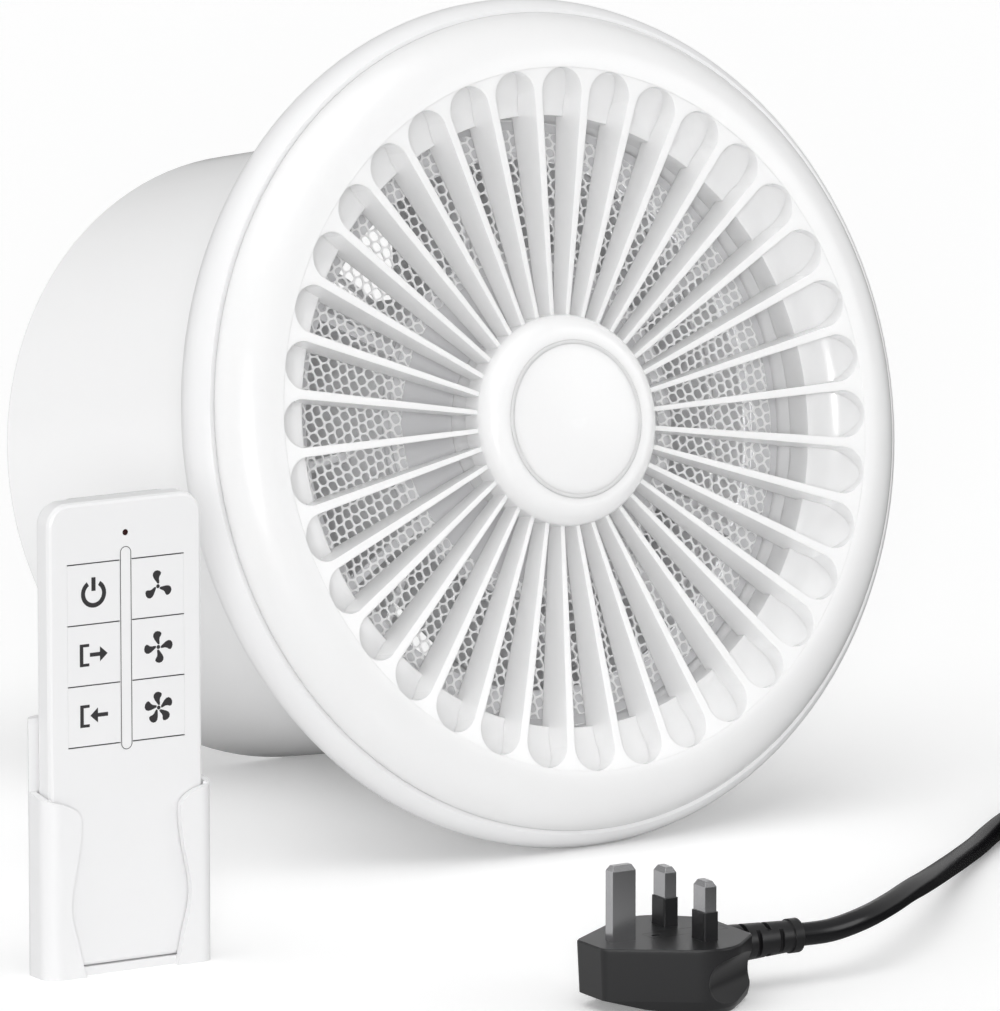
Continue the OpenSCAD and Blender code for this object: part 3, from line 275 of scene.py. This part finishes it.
def add_grain(tree, normal, scale, strength, depth):
    """Fine uneven surface from noise; gives back the input that further changes of the normal go to."""
    place = shader_node(tree, "TexCoord")
    noise = shader_node(tree, "TexNoise", Scale=scale, Detail=GRAIN_DETAIL)
    bump = shader_node(tree, "Bump", Strength=strength, Distance=depth)
    tree.links.new(place.outputs["Object"], noise.inputs["Vector"])
    tree.links.new(noise.outputs["Fac"], bump.inputs["Height"])
    tree.links.new(bump.outputs["Normal"], normal)
    return bump.inputs["Normal"]


def make_material(name, colour, roughness, sockets=None, grain=None, edge_r=None):
    """New material from the settings of one look."""
    material = bpy.data.materials.new(name)
    material.use_nodes = True
    tree = material.node_tree
    shader = tree.nodes["Principled BSDF"]
    shader.inputs["Base Color"].default_value = (*colour, 1)
    shader.inputs["Roughness"].default_value = roughness
    for key, value in (sockets or {}).items():
        shader.inputs[key].default_value = value
    normal = shader.inputs["Normal"]
    if grain:
        normal = add_grain(tree, normal, *grain)
    if edge_r:
        bevel = shader_node(tree, "Bevel", Radius=edge_r)
        bevel.samples = EDGE_SAMPLES
        tree.links.new(bevel.outputs["Normal"], normal)
    return material


def dress_nodes(materials):
    """Gives every CAD node the material of its own look, or else that of its slot."""
    slots = {part["node"]: part["material_slot"] for part in record["subparts"]}
    for name, node in frame["nodes"].items():
        node.data.materials.clear()
        node.data.materials.append(materials[OWN_LOOKS.get(name, slots[name])])


# Mains lead: its route repeats the one of the CAD solids

CORD_D = 7 * MM
CORD_R = CORD_D / 2
CORD_ROUNDNESS = 6
ROUTE_STEPS = 5

# Straight start out of the strain relief, then chosen points of the run over the floor in mm
PLUG_YAW = math.radians(-4)
RELIEF_DIR = Vector((math.cos(PLUG_YAW), math.sin(PLUG_YAW), 0))
RELIEF_TIP = Vector((-5.383, -257.947, 14.2)) * MM
RELIEF_STUB = 12 * MM
FLOOR_POINTS = [
    (20.6, -256.3, 15.5),
    (36.6, -248, 16.1),
    (53, -236.3, 15.8),
    (68.2, -223.9, 14.2),
    (82.7, -210.7, 12.1),
    (96.8, -197.2, 9.8),
    (110.9, -183.7, 7.5),
    (125.2, -170.5, 5.6),
    (140, -157.6, 4.3),
    (155.1, -145.1, 4),
]

# Last two points before the coil: how far before it they lie, and how far the first of them is below it
APPROACH_FAR = 24 * MM
APPROACH_NEAR = 10 * MM
APPROACH_DROP = Vector((0, 0, 0.5 * MM))

# Coil of two layers with clockwise turns, seen from above. It lies on the strap that goes round it, and the
# layer changes within a part of a turn
COIL_CENTRE = Vector((214, -166, 0)) * MM
COIL_START = math.radians(118)
COIL_R = 49 * MM
COIL_TURNS = 2.54
COIL_PITCH = 7.6 * MM
COIL_LIFT = 0.95 * MM
COIL_LOW = CORD_R + COIL_LIFT
COIL_RINGS = 36
LAYER_H = 7.5 * MM
LAYER_STEP = 0.5

# End with the connector: how far along the coil's end two points lie, and how far they have moved from it
TAIL_BENDS = [(15 * MM, Vector((0, 0, 0.3)) * MM), (27 * MM, Vector((0, 0.7, 1.7)) * MM)]
CONNECTOR_DX = 48 * MM
CONNECTOR_DY = -2.5 * MM
CONNECTOR_Z = 8.6 * MM


def coil_point(turn):
    """Middle of the cord in the coil, which winds inwards below and, one layer up, outwards again."""
    rise = min(max((turn - COIL_TURNS + LAYER_STEP / 2) / LAYER_STEP, 0), 1)
    rise = rise * rise * (3 - 2 * rise)
    r = COIL_R - COIL_PITCH * (turn if turn < COIL_TURNS else 2 * COIL_TURNS - turn)
    a = COIL_START - math.tau * turn
    return COIL_CENTRE + Vector((r * math.cos(a), r * math.sin(a), COIL_LOW + LAYER_H * rise))


def clockwise(angle):
    """Direction of a clockwise turn at an angle."""
    return Vector((math.sin(angle), -math.cos(angle), 0))


def smooth(points, steps):
    """Points on a smooth curve through the given ones."""
    out = []
    for i in range(len(points) - 1):
        a, b, c = points[max(i - 1, 0)], points[i], points[i + 1]
        d = points[min(i + 2, len(points) - 1)]
        for k in range(steps):
            f = k / steps
            square = (2 * a - 5 * b + 4 * c - d) * f * f
            cube = (3 * b - a - 3 * c + d) * f**3
            out.append((2 * b + (c - a) * f + square + cube) / 2)
    return out + [points[-1]]


def lead_points():
    """Middle line of the whole lead: over the floor, round the coil and on to the connector."""
    count = round(2 * COIL_TURNS * COIL_RINGS)
    coil = [coil_point(2 * COIL_TURNS * i / count) for i in range(count + 1)]
    start, end = coil[0], coil[-1]
    way_in = clockwise(COIL_START)
    way_out = clockwise(COIL_START - 2 * COIL_TURNS * math.tau)
    run = [RELIEF_TIP, RELIEF_TIP + RELIEF_STUB * RELIEF_DIR]
    run += [Vector(point) * MM for point in FLOOR_POINTS]
    run += [start - APPROACH_FAR * way_in - APPROACH_DROP, start - APPROACH_NEAR * way_in, start]
    tail_end = Vector((end.x + CONNECTOR_DX, end.y + CONNECTOR_DY, CONNECTOR_Z))
    tail = [end, end + CORD_D * way_out]
    tail += [end + along * way_out - moved for along, moved in TAIL_BENDS]
    tail += [tail_end - Vector((CORD_D, 0, 0)), tail_end]
    return smooth(run, ROUTE_STEPS)[:-1] + coil + smooth(tail, ROUTE_STEPS)[1:]


def add_lead(materials, strap):
    """Round black lead, with the plug, the connector and the strap on it."""
    curve = make_curve("mains_lead", "3D", CORD_R, CORD_ROUNDNESS)
    curve.use_fill_caps = True
    add_spline(curve, lead_points()).use_smooth = True
    lead = add_piece("mains_lead", curve, materials["black_cord"], "fan_body")
    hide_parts("cord_plug_run", "cord_coil", "cord_tail")
    cord_nodes = record["physics"]["cord_nodes"]
    on_lead = [frame["nodes"][name] for name in cord_nodes if not name.startswith("cord_")]
    on_lead.append(strap)


# Strap round the coil, with some slack on each side of the turns and a lapped end on top

STRAP_W = 10 * MM
STRAP_T = 0.8 * MM
STRAP_ANGLE = math.radians(-60)
STRAP_BEND = 3.6 * MM
BEND_STEPS = 8
SLACK_IN = 1.9 * MM
SLACK_OUT = 1.6 * MM
SLACK_TOP = 0.75 * MM
FLOOR_GAP = 0.05 * MM
HIDDEN_END = 9 * MM
LAP_GAP = 0.1 * MM
LAP_START = 2 * MM
LAP_POINTS = [5 * MM, 8 * MM, 12 * MM, 16 * MM, 20 * MM]

# Half of the outline of the strap's section, in shares of its width and thickness
HALF_SECTION = [(-0.5, -0.2), (-0.46, -0.5), (0.46, -0.5), (0.5, -0.2)]


def strap_line():
    """Middle line of the strap round all turns, from its hidden end to the end lapped over it."""
    low = COIL_R - COIL_PITCH * COIL_TURNS - CORD_R - SLACK_IN
    high = COIL_R + CORD_R + SLACK_OUT
    bottom = STRAP_T / 2 + FLOOR_GAP
    top = COIL_LOW + LAYER_H + CORD_R + SLACK_TOP
    r = STRAP_BEND
    # Middle of each rounded corner, and the angle at which its quarter turn starts
    bends = [(high - r, top - r, 90), (high - r, bottom + r, 0), (low + r, bottom + r, -90)]
    bends.append((low + r, top - r, -180))
    line = [(low + HIDDEN_END, top)]
    for x, y, start in bends:
        for k in range(BEND_STEPS + 1):
            a = math.radians(start - 90 * k / BEND_STEPS)
            line.append((x + r * math.cos(a), y + r * math.sin(a)))
    line.append((low + r + LAP_START, top + LAP_GAP))
    return line + [(low + r + along, top + STRAP_T + LAP_GAP) for along in LAP_POINTS]


def add_strap(materials):
    """Woven strap that ties the coil, with its end lapped over the top."""
    line = strap_line()
    place = Matrix.Translation(COIL_CENTRE) @ Matrix.Rotation(STRAP_ANGLE, 4, "Z")
    section = HALF_SECTION + [(-w, -t) for w, t in HALF_SECTION]
    sides = len(section)
    verts, faces = [], []
    for i, (x, z) in enumerate(line):
        x1, z1 = line[max(i - 1, 0)]
        x2, z2 = line[min(i + 1, len(line) - 1)]
        along = math.hypot(x2 - x1, z2 - z1)
        out_x, out_z = (z1 - z2) / along, (x2 - x1) / along
        for w, t in section:
            spot = Vector((x + out_x * t * STRAP_T, w * STRAP_W, z + out_z * t * STRAP_T))
            verts.append(place @ spot)
    for i in range(len(line) - 1):
        for k in range(sides):
            a, b = i * sides + k, i * sides + (k + 1) % sides
            faces.append((a, b, b + sides, a + sides))
    faces.append(tuple(range(sides - 1, -1, -1)))
    faces.append(tuple(range(len(verts) - sides, len(verts))))
    mesh = make_mesh("coil_strap", verts, faces)
    strap = add_piece("coil_strap", mesh, materials["strap"], "fan_body")
    shape = bmesh.new()
    shape.from_mesh(mesh)
    bmesh.ops.recalc_face_normals(shape, faces=shape.faces[:])
    shape.to_mesh(mesh)
    shape.free()
    for face in mesh.polygons:
        face.use_smooth = len(face.vertices) == 4
    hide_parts("cord_tie")
    return strap


# Foam seal behind the flange, in the fan frame

SEAL_IN = 100.5 * MM
SEAL_OUT = 118 * MM
SEAL_FRONT = -8.4 * MM
SEAL_T = 2.4 * MM
SEAL_EDGE = 0.6 * MM
EDGE_ROUNDNESS = 3
SEAL_STEPS = 180
SCREW_CIRCLE = 112 * MM
SCREW_HOLES = 4
SCREW_HOLE_R = 2.8 * MM
HOLE_STEPS = 24


def add_circle(curve, x, y, r, count):
    """Adds a circle of straight steps to a flat curve."""
    angles = [math.tau * i / count for i in range(count)]
    add_spline(curve, [(x + r * math.cos(a), y + r * math.sin(a), 0) for a in angles], closed=True)


def add_seal(materials):
    """Foam ring with pillowed edges and holes for the wall screws."""
    curve = make_curve("foam_seal", "2D", SEAL_EDGE, EDGE_ROUNDNESS)
    curve.fill_mode = "BOTH"
    curve.extrude = SEAL_T / 2 - SEAL_EDGE
    curve.offset = -SEAL_EDGE
    add_circle(curve, 0, 0, SEAL_OUT, SEAL_STEPS)
    add_circle(curve, 0, 0, SEAL_IN, SEAL_STEPS)
    for i in range(SCREW_HOLES):
        a = math.radians(360 / SCREW_HOLES * i)
        add_circle(curve, SCREW_CIRCLE * math.cos(a), SCREW_CIRCLE * math.sin(a), SCREW_HOLE_R, HOLE_STEPS)
    place = FAN_PLACE @ Matrix.Translation((0, 0, SEAL_FRONT - SEAL_T / 2))
    seal = add_piece("foam_seal", curve, materials["foam"], "fan_body", place)
    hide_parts("flange_gasket")


# Front panel, in the fan frame: the fins of the CAD solid reach further back than those in the photo

FIN_BACK = -3 * MM
FIN_BACK_SEEN = 3 * MM
FIN_BACK_PLAY = 0.05 * MM
THROAT_R = 97 * MM


def add_grille(materials):
    """Front panel with less deep fins, so that the screen shows between them as in the photo."""
    mesh = frame["nodes"]["front_grille"].data.copy()
    for vert in mesh.vertices:
        p = TO_FAN @ vert.co
        if abs(p.z - FIN_BACK) < FIN_BACK_PLAY and math.hypot(p.x, p.y) < THROAT_R:
            p.z = FIN_BACK_SEEN
            vert.co = FAN_PLACE @ p
    mesh.materials.clear()
    panel = add_piece("slotted_panel", mesh, materials["white_gloss"], "front_panel")
    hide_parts("front_grille")


# Bead on the hub, in the fan frame

BEAD_Z = 16.1 * MM
BEAD_W = 1.5 * MM
BEAD_H = 0.6 * MM
BEAD_BEYOND_CAP = 0.1 * MM
BEAD_STEPS = 144
BEAD_SIDES = 10


def add_hub_bead(materials):
    """Low bead over the line between the hub and its cap."""
    cap = [TO_FAN @ v.co for v in frame["nodes"]["hub_cap"].data.vertices]
    ring_r = max(math.hypot(p.x, p.y) for p in cap) + BEAD_BEYOND_CAP
    verts, faces = [], []
    for i in range(BEAD_STEPS):
        a = math.tau * i / BEAD_STEPS
        here, there = i * BEAD_SIDES, (i + 1) % BEAD_STEPS * BEAD_SIDES
        for k in range(BEAD_SIDES):
            b = math.tau * k / BEAD_SIDES
            r = ring_r + BEAD_W / 2 * math.cos(b)
            z = BEAD_Z + BEAD_H / 2 * math.sin(b)
            verts.append(FAN_PLACE @ Vector((r * math.cos(a), r * math.sin(a), z)))
            m = (k + 1) % BEAD_SIDES
            faces.append((here + k, there + k, there + m, here + m))
    mesh = make_mesh("hub_bead", verts, faces)
    add_piece("hub_bead", mesh, materials["white_gloss"], "front_panel")
    mesh.shade_smooth()


# Knitted insect mesh, in the fan frame: cells in slanting rows, each with a rounded opening

MESH_UP = Vector((-0.35, 3.45)) * MM
MESH_SIDE = Vector((3, 1.3)) * MM
MESH_OPEN = 0.83
MESH_ROUND = 0.2
MESH_DEPTH = 0.5 * MM
MESH_IN = 49 * MM
MESH_OUT = 93 * MM
MESH_MARGIN = 1 * MM
MESH_Z = -9.2 * MM
CELL_SIDES = 6

# Uneven pull of the knit in mm: how far it goes, and how fast it changes along x and y per mm
PULLS_X = [(0.06, 0.8, 1.9), (0.3, 0.21, -0.33)]
PULLS_Y = [(0.06, 1.7, -0.7), (0.3, 0.27, 0.19)]


def cell_corners():
    """Corners of one cell: the points as far from its middle as from two neighbours' middles."""
    near = [MESH_SIDE, MESH_UP, MESH_UP - MESH_SIDE]
    near += [-n for n in near]
    corners = []
    for i, a in enumerate(near):
        b = near[(i + 1) % CELL_SIDES]
        twice = 2 * (a.x * b.y - a.y * b.x)
        aa, bb = a.length_squared, b.length_squared
        corners.append(Vector(((b.y * aa - a.y * bb) / twice, (a.x * bb - b.x * aa) / twice)))
    return corners


def cell_outline():
    """Corners of one cell, then two points of its opening for each of them."""
    corners = cell_corners()
    opening = []
    for i, corner in enumerate(corners):
        for other in (corners[i - 1], corners[(i + 1) % CELL_SIDES]):
            opening.append((corner + (other - corner) * MESH_ROUND) * MESH_OPEN)
    return corners + opening


def cell_faces(front, back):
    """Faces of the thread round one opening, from the numbers of its first front and back point."""
    faces = []
    for k in range(CELL_SIDES):
        n = (k + 1) % CELL_SIDES
        k1, k2, n1 = CELL_SIDES + 2 * k, CELL_SIDES + 2 * k + 1, CELL_SIDES + 2 * n
        faces.append((front + k, front + n, front + n1, front + k2))
        faces.append((front + k, front + k2, front + k1))
        faces.append((back + n, back + k, back + k2, back + n1))
        faces.append((back + k, back + k1, back + k2))
        faces.append((front + k2, front + n1, back + n1, back + k2))
        faces.append((front + k1, front + k2, back + k2, back + k1))
    return faces


def waver(x, y):
    """Small uneven pull of the knitted mesh."""
    u, v = x / MM, y / MM
    pull_x = sum(far * math.sin(along * u + across * v) for far, along, across in PULLS_X)
    pull_y = sum(far * math.sin(along * u + across * v) for far, along, across in PULLS_Y)
    return x + pull_x * MM, y + pull_y * MM


def add_mesh(materials):
    """Mesh of white threads with six-sided openings, held between the rings of the screen frame."""
    outline = cell_outline()
    verts, faces = [], []
    count = int(MESH_OUT / MESH_SIDE.x) + 2
    for i in range(-count, count + 1):
        for j in range(-2 * count, 2 * count + 1):
            middle = i * MESH_SIDE + j * MESH_UP
            if not MESH_IN - MESH_MARGIN < middle.length < MESH_OUT + MESH_MARGIN:
                continue
            front = len(verts)
            for side in (1, -1):
                for spot in outline:
                    x, y = waver(*(middle + spot))
                    held = min(max(math.hypot(x, y), MESH_IN), MESH_OUT) / math.hypot(x, y)
                    z = MESH_Z + side * MESH_DEPTH / 2
                    verts.append(FAN_PLACE @ Vector((x * held, y * held, z)))
            faces += cell_faces(front, front + len(outline))
    mesh = make_mesh("insect_mesh_weave", verts, faces)
    weave = add_piece("insect_mesh_weave", mesh, materials["white_mesh"], "front_panel")
    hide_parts("insect_mesh")


# Printed signs and lines of the remote: flat shapes just in front of its faces, in mm to the right and up

PRINT_LIFT = 0.03 * MM
ROUND_STEPS = 20

# Power sign: a ring open at the top, with a bar in the gap, from its lower left to its upper right corner
POWER_IN = 2.85
POWER_OUT = 4.25
POWER_GAP = 64
POWER_STEPS = 30
POWER_BAR = (-0.7, 0.8, 0.7, 4.9)

# Fan signs: 3, 4 or 5 blades round a small hub, with the edge of the blade that points to the right
SIGN_BLADES = (3, 4, 5)
SIGN_HUB_R = 0.62
SIGN_HUB_TURN = 359.9
SIGN_HUB_STEPS = 16
BLADE_FRONT = [(0.8, 0.15), (1.6, 0.75), (2.4, 1.35), (3.3, 1.75), (4.1, 1.65), (4.7, 1.05), (4.85, 0.2)]
BLADE_REAR = [(4.6, -0.6), (4.1, -1.1), (3.5, -0.95), (2.9, -0.5), (2.2, -0.35), (1.4, -0.45), (0.8, -0.4)]

# Arrow signs: a wall with bent ends, and an arrow through its open side
WALL_LEFT = -4.8
WALL_W = 1.2
WALL_TOP = 3.4
WALL_END_X = -1.6
WALL_END_H = 0.9
ARROW_LEFT = -1.4
ARROW_RIGHT = 4.6
SHAFT_W = 1.2
HEAD_LENGTH = 2.6
HEAD_W = 4.6
OVERLAP = 0.1

# Lines round the middle strip and above and below each row of keys
LINE_W = 0.22
STRIP_R = 1.88
STRIP_TOP = 11.3
STRIP_LOW = -46.4
KEY_PITCH = 18.4
KEY_ROWS = 3
KEY_NEAR = 2.1
KEY_FAR = 19.7


def ring_sector(r1, r2, a1, a2, steps):
    """Closed outline of a part of a ring, angles in degrees from the right."""
    angles = [math.radians(a1 + (a2 - a1) * i / steps) for i in range(steps + 1)]
    outer = [(r2 * math.cos(a), r2 * math.sin(a)) for a in angles]
    inner = [(r1 * math.cos(a), r1 * math.sin(a)) for a in reversed(angles)]
    return outer + inner


def bar(x1, y1, x2, y2):
    """Outline of an upright rectangle."""
    return [(x1, y1), (x2, y1), (x2, y2), (x1, y2)]


def shifted(part, up):
    """The outline moved up."""
    return [(x, y + up) for x, y in part]


def power_symbol():
    """An open ring with a bar."""
    ring = ring_sector(POWER_IN, POWER_OUT, 90 + POWER_GAP / 2, 450 - POWER_GAP / 2, POWER_STEPS)
    return [ring, bar(*POWER_BAR)]


def fan_blade(angle):
    """One curved blade of a small fan picture."""
    c, s = math.cos(math.radians(angle)), math.sin(math.radians(angle))
    return [(x * c - y * s, x * s + y * c) for x, y in BLADE_FRONT + BLADE_REAR]


def fan_symbol(blades):
    """A small fan picture with its first blade at the top."""
    hub = ring_sector(0, SIGN_HUB_R, 0, SIGN_HUB_TURN, SIGN_HUB_STEPS)
    return [hub] + [fan_blade(90 + 360 * i / blades) for i in range(blades)]


def arrow_symbol(outward):
    """A wall with an arrow that leaves it or runs into it."""
    tip, tail = (ARROW_RIGHT, ARROW_LEFT) if outward else (ARROW_LEFT, ARROW_RIGHT)
    way = 1 if outward else -1
    neck = tip - way * HEAD_LENGTH
    head = [(tip, 0), (neck, HEAD_W / 2), (neck, -HEAD_W / 2)]
    hidden = neck + way * OVERLAP
    shaft = bar(min(tail, hidden), -SHAFT_W / 2, max(tail, hidden), SHAFT_W / 2)
    inside = WALL_LEFT + WALL_W
    wall = bar(WALL_LEFT, -WALL_TOP, inside, WALL_TOP)
    upper = bar(inside - OVERLAP, WALL_TOP - WALL_END_H, WALL_END_X, WALL_TOP)
    lower = bar(inside - OVERLAP, -WALL_TOP, WALL_END_X, WALL_END_H - WALL_TOP)
    return [head, shaft, wall, upper, lower]


def before_face(point, node):
    """The point moved along the remote's depth to just before the front of a node."""
    front = min(v.co.dot(REMOTE_IN) for v in frame["nodes"][node].data.vertices)
    return point + REMOTE_IN * (front - point.dot(REMOTE_IN) - PRINT_LIFT)


def print_parts(name, body, centre, parts, materials):
    """Prints flat dark parts, in mm from a centre, on a body."""
    verts, faces = [], []
    for part in parts:
        first = len(verts)
        verts += [centre + REMOTE_RIGHT * (x * MM) + Vector((0, 0, y * MM)) for x, y in part]
        faces.append(tuple(range(first, first + len(part))))
    mesh = make_mesh(name, verts, faces)
    add_piece(name, mesh, materials["print_grey"], body)
    shape = bmesh.new()
    shape.from_mesh(mesh)
    bmesh.ops.triangulate(shape, faces=shape.faces[:])
    shape.to_mesh(mesh)
    shape.free()


def add_lines(materials):
    """Thin dark lines of the remote's face, from the middle between the two upper keys."""
    left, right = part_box("key_power"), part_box("key_speed_1")
    middle = (left[0] + left[1] + right[0] + right[1]) / 4
    inner_r = STRIP_R - LINE_W
    parts = [
        shifted(ring_sector(inner_r, STRIP_R, 0, 180, ROUND_STEPS), STRIP_TOP),
        shifted(ring_sector(inner_r, STRIP_R, 180, 360, ROUND_STEPS), STRIP_LOW),
        bar(-STRIP_R, STRIP_LOW, -inner_r, STRIP_TOP),
        bar(inner_r, STRIP_LOW, STRIP_R, STRIP_TOP),
    ]
    for row in range(KEY_ROWS + 1):
        y = (0.5 - row) * KEY_PITCH
        parts.append(bar(KEY_NEAR, y - LINE_W / 2, KEY_FAR, y + LINE_W / 2))
        parts.append(bar(-KEY_FAR, y - LINE_W / 2, -KEY_NEAR, y + LINE_W / 2))
    print_parts("print_lines", "remote", before_face(middle, "remote_front_shell"), parts, materials)


def add_symbol(name, key, parts, materials):
    """Prints a sign on the face of one key, which carries it."""
    low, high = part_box(key)
    print_parts(name, key, before_face((low + high) / 2, key), parts, materials)


def add_symbols(materials):
    """Signs of the six keys."""
    add_symbol("print_power", "key_power", power_symbol(), materials)
    add_symbol("print_out", "key_out", arrow_symbol(True), materials)
    add_symbol("print_in", "key_in", arrow_symbol(False), materials)
    for speed, blades in enumerate(SIGN_BLADES, 1):
        add_symbol(f"print_speed_{speed}", f"key_speed_{speed}", fan_symbol(blades), materials)


# Stage and light

WHITE = (1, 1, 1, 1)
WORLD_LIGHT = 0.415
FLOOR_SIZE = 12
FLOOR_COLOUR = (0.93, 0.93, 0.93, 1)
FLOOR_LIFT = 0.185

# What gloss mirrors of the floor: bright at the left of the object, dark at its right
GLOSS_LEFT_X = -0.12
GLOSS_RIGHT_X = 0.06
GLOSS_LEFT = 0.7
GLOSS_RIGHT = 0.03

# Soft suns: strength, width, azimuth and elevation, the last three in degrees
SUNS = {
    "front_light": (1.14, 12, -35, 11),
    "top_light": (1.05, 60, -60, 72),
    "left_light": (0.28, 60, -100, 15),
    "right_light": (0.38, 30, 48, 18),
}
FILL_POWER = 0.18
FILL_R = 2.5 * MM
FILL_Z = -16.2 * MM


def mix_shaders(tree, factor, first, second):
    """Mix of two shaders, with the second one where the factor is 1."""
    mix = shader_node(tree, "MixShader")
    tree.links.new(factor, mix.inputs["Fac"])
    tree.links.new(first.outputs[0], mix.inputs[1])
    tree.links.new(second.outputs[0], mix.inputs[2])
    return mix


def floor_material():
    """White as seen, with the shadows kept, and in gloss a gradient from bright to dark."""
    material = bpy.data.materials.new("floor_white")
    material.use_nodes = True
    tree = material.node_tree
    tree.nodes.clear()
    matte = shader_node(tree, "BsdfDiffuse", Color=FLOOR_COLOUR)
    lift = shader_node(tree, "Emission", Color=WHITE, Strength=FLOOR_LIFT)
    lifted = shader_node(tree, "AddShader")
    tree.links.new(matte.outputs[0], lifted.inputs[0])
    tree.links.new(lift.outputs[0], lifted.inputs[1])
    place = shader_node(tree, "TexCoord")
    split = shader_node(tree, "SeparateXYZ")
    fade = shader_node(tree, "MapRange")
    fade.inputs["From Min"].default_value = GLOSS_LEFT_X
    fade.inputs["From Max"].default_value = GLOSS_RIGHT_X
    fade.inputs["To Min"].default_value = GLOSS_LEFT
    fade.inputs["To Max"].default_value = GLOSS_RIGHT
    mirrored = shader_node(tree, "Emission", Color=WHITE)
    tree.links.new(place.outputs["Object"], split.inputs[0])
    tree.links.new(split.outputs["X"], fade.inputs["Value"])
    tree.links.new(fade.outputs["Result"], mirrored.inputs["Strength"])
    rays = shader_node(tree, "LightPath")
    seen = mix_shaders(tree, rays.outputs["Is Camera Ray"], matte, lifted)
    in_gloss = mix_shaders(tree, rays.outputs["Is Glossy Ray"], seen, mirrored)
    out = shader_node(tree, "OutputMaterial")
    tree.links.new(in_gloss.outputs[0], out.inputs["Surface"])
    return material


def add_floor():
    """Large square floor."""
    corners = [(-1, -1), (1, -1), (1, 1), (-1, 1)]
    mesh = make_mesh("floor", [(x * FLOOR_SIZE, y * FLOOR_SIZE, 0) for x, y in corners], [(0, 1, 2, 3)])
    mesh.materials.append(floor_material())
    add_object("floor", mesh)


def add_world():
    """White as seen, and a weaker light on the object."""
    world = bpy.data.worlds.new("studio")
    world.use_nodes = True
    bpy.context.scene.world = world
    tree = world.node_tree
    tree.nodes.clear()
    seen = shader_node(tree, "Background", Color=WHITE)
    light = shader_node(tree, "Background", Color=WHITE, Strength=WORLD_LIGHT)
    rays = shader_node(tree, "LightPath")
    mix = mix_shaders(tree, rays.outputs["Is Camera Ray"], light, seen)
    out = shader_node(tree, "OutputWorld")
    tree.links.new(mix.outputs[0], out.inputs["Surface"])


def add_sun(name, strength, width, azimuth, elevation):
    """Soft light of even strength that comes from an azimuth and elevation."""
    data = bpy.data.lights.new(name, "SUN")
    data.energy = strength
    data.angle = math.radians(width)
    sun = add_object(name, data)
    sun.rotation_euler = direction(azimuth, elevation).to_track_quat("Z", "Y").to_euler()


def add_inner_fill():
    """Small light for the white inside of the duct, hidden between the screen's disc and the motor cup."""
    data = bpy.data.lights.new("inner_fill", "POINT")
    data.energy = FILL_POWER
    data.shadow_soft_size = FILL_R
    fill = add_object("inner_fill", data)
    fill.location = FAN_ORIGIN + FILL_Z * FAN_AXIS
    fill.visible_camera = False


add_camera()
materials = {name: make_material(name, **look) for name, look in LOOKS.items()}
add_seal(materials)
strap = add_strap(materials)
add_lead(materials, strap)
dress_nodes(materials)
add_grille(materials)
add_hub_bead(materials)
add_mesh(materials)
add_lines(materials)
add_symbols(materials)
add_floor()
add_world()
for name, settings in SUNS.items():
    add_sun(name, *settings)
add_inner_fill()
bpy.context.scene.view_settings.view_transform = "Standard"
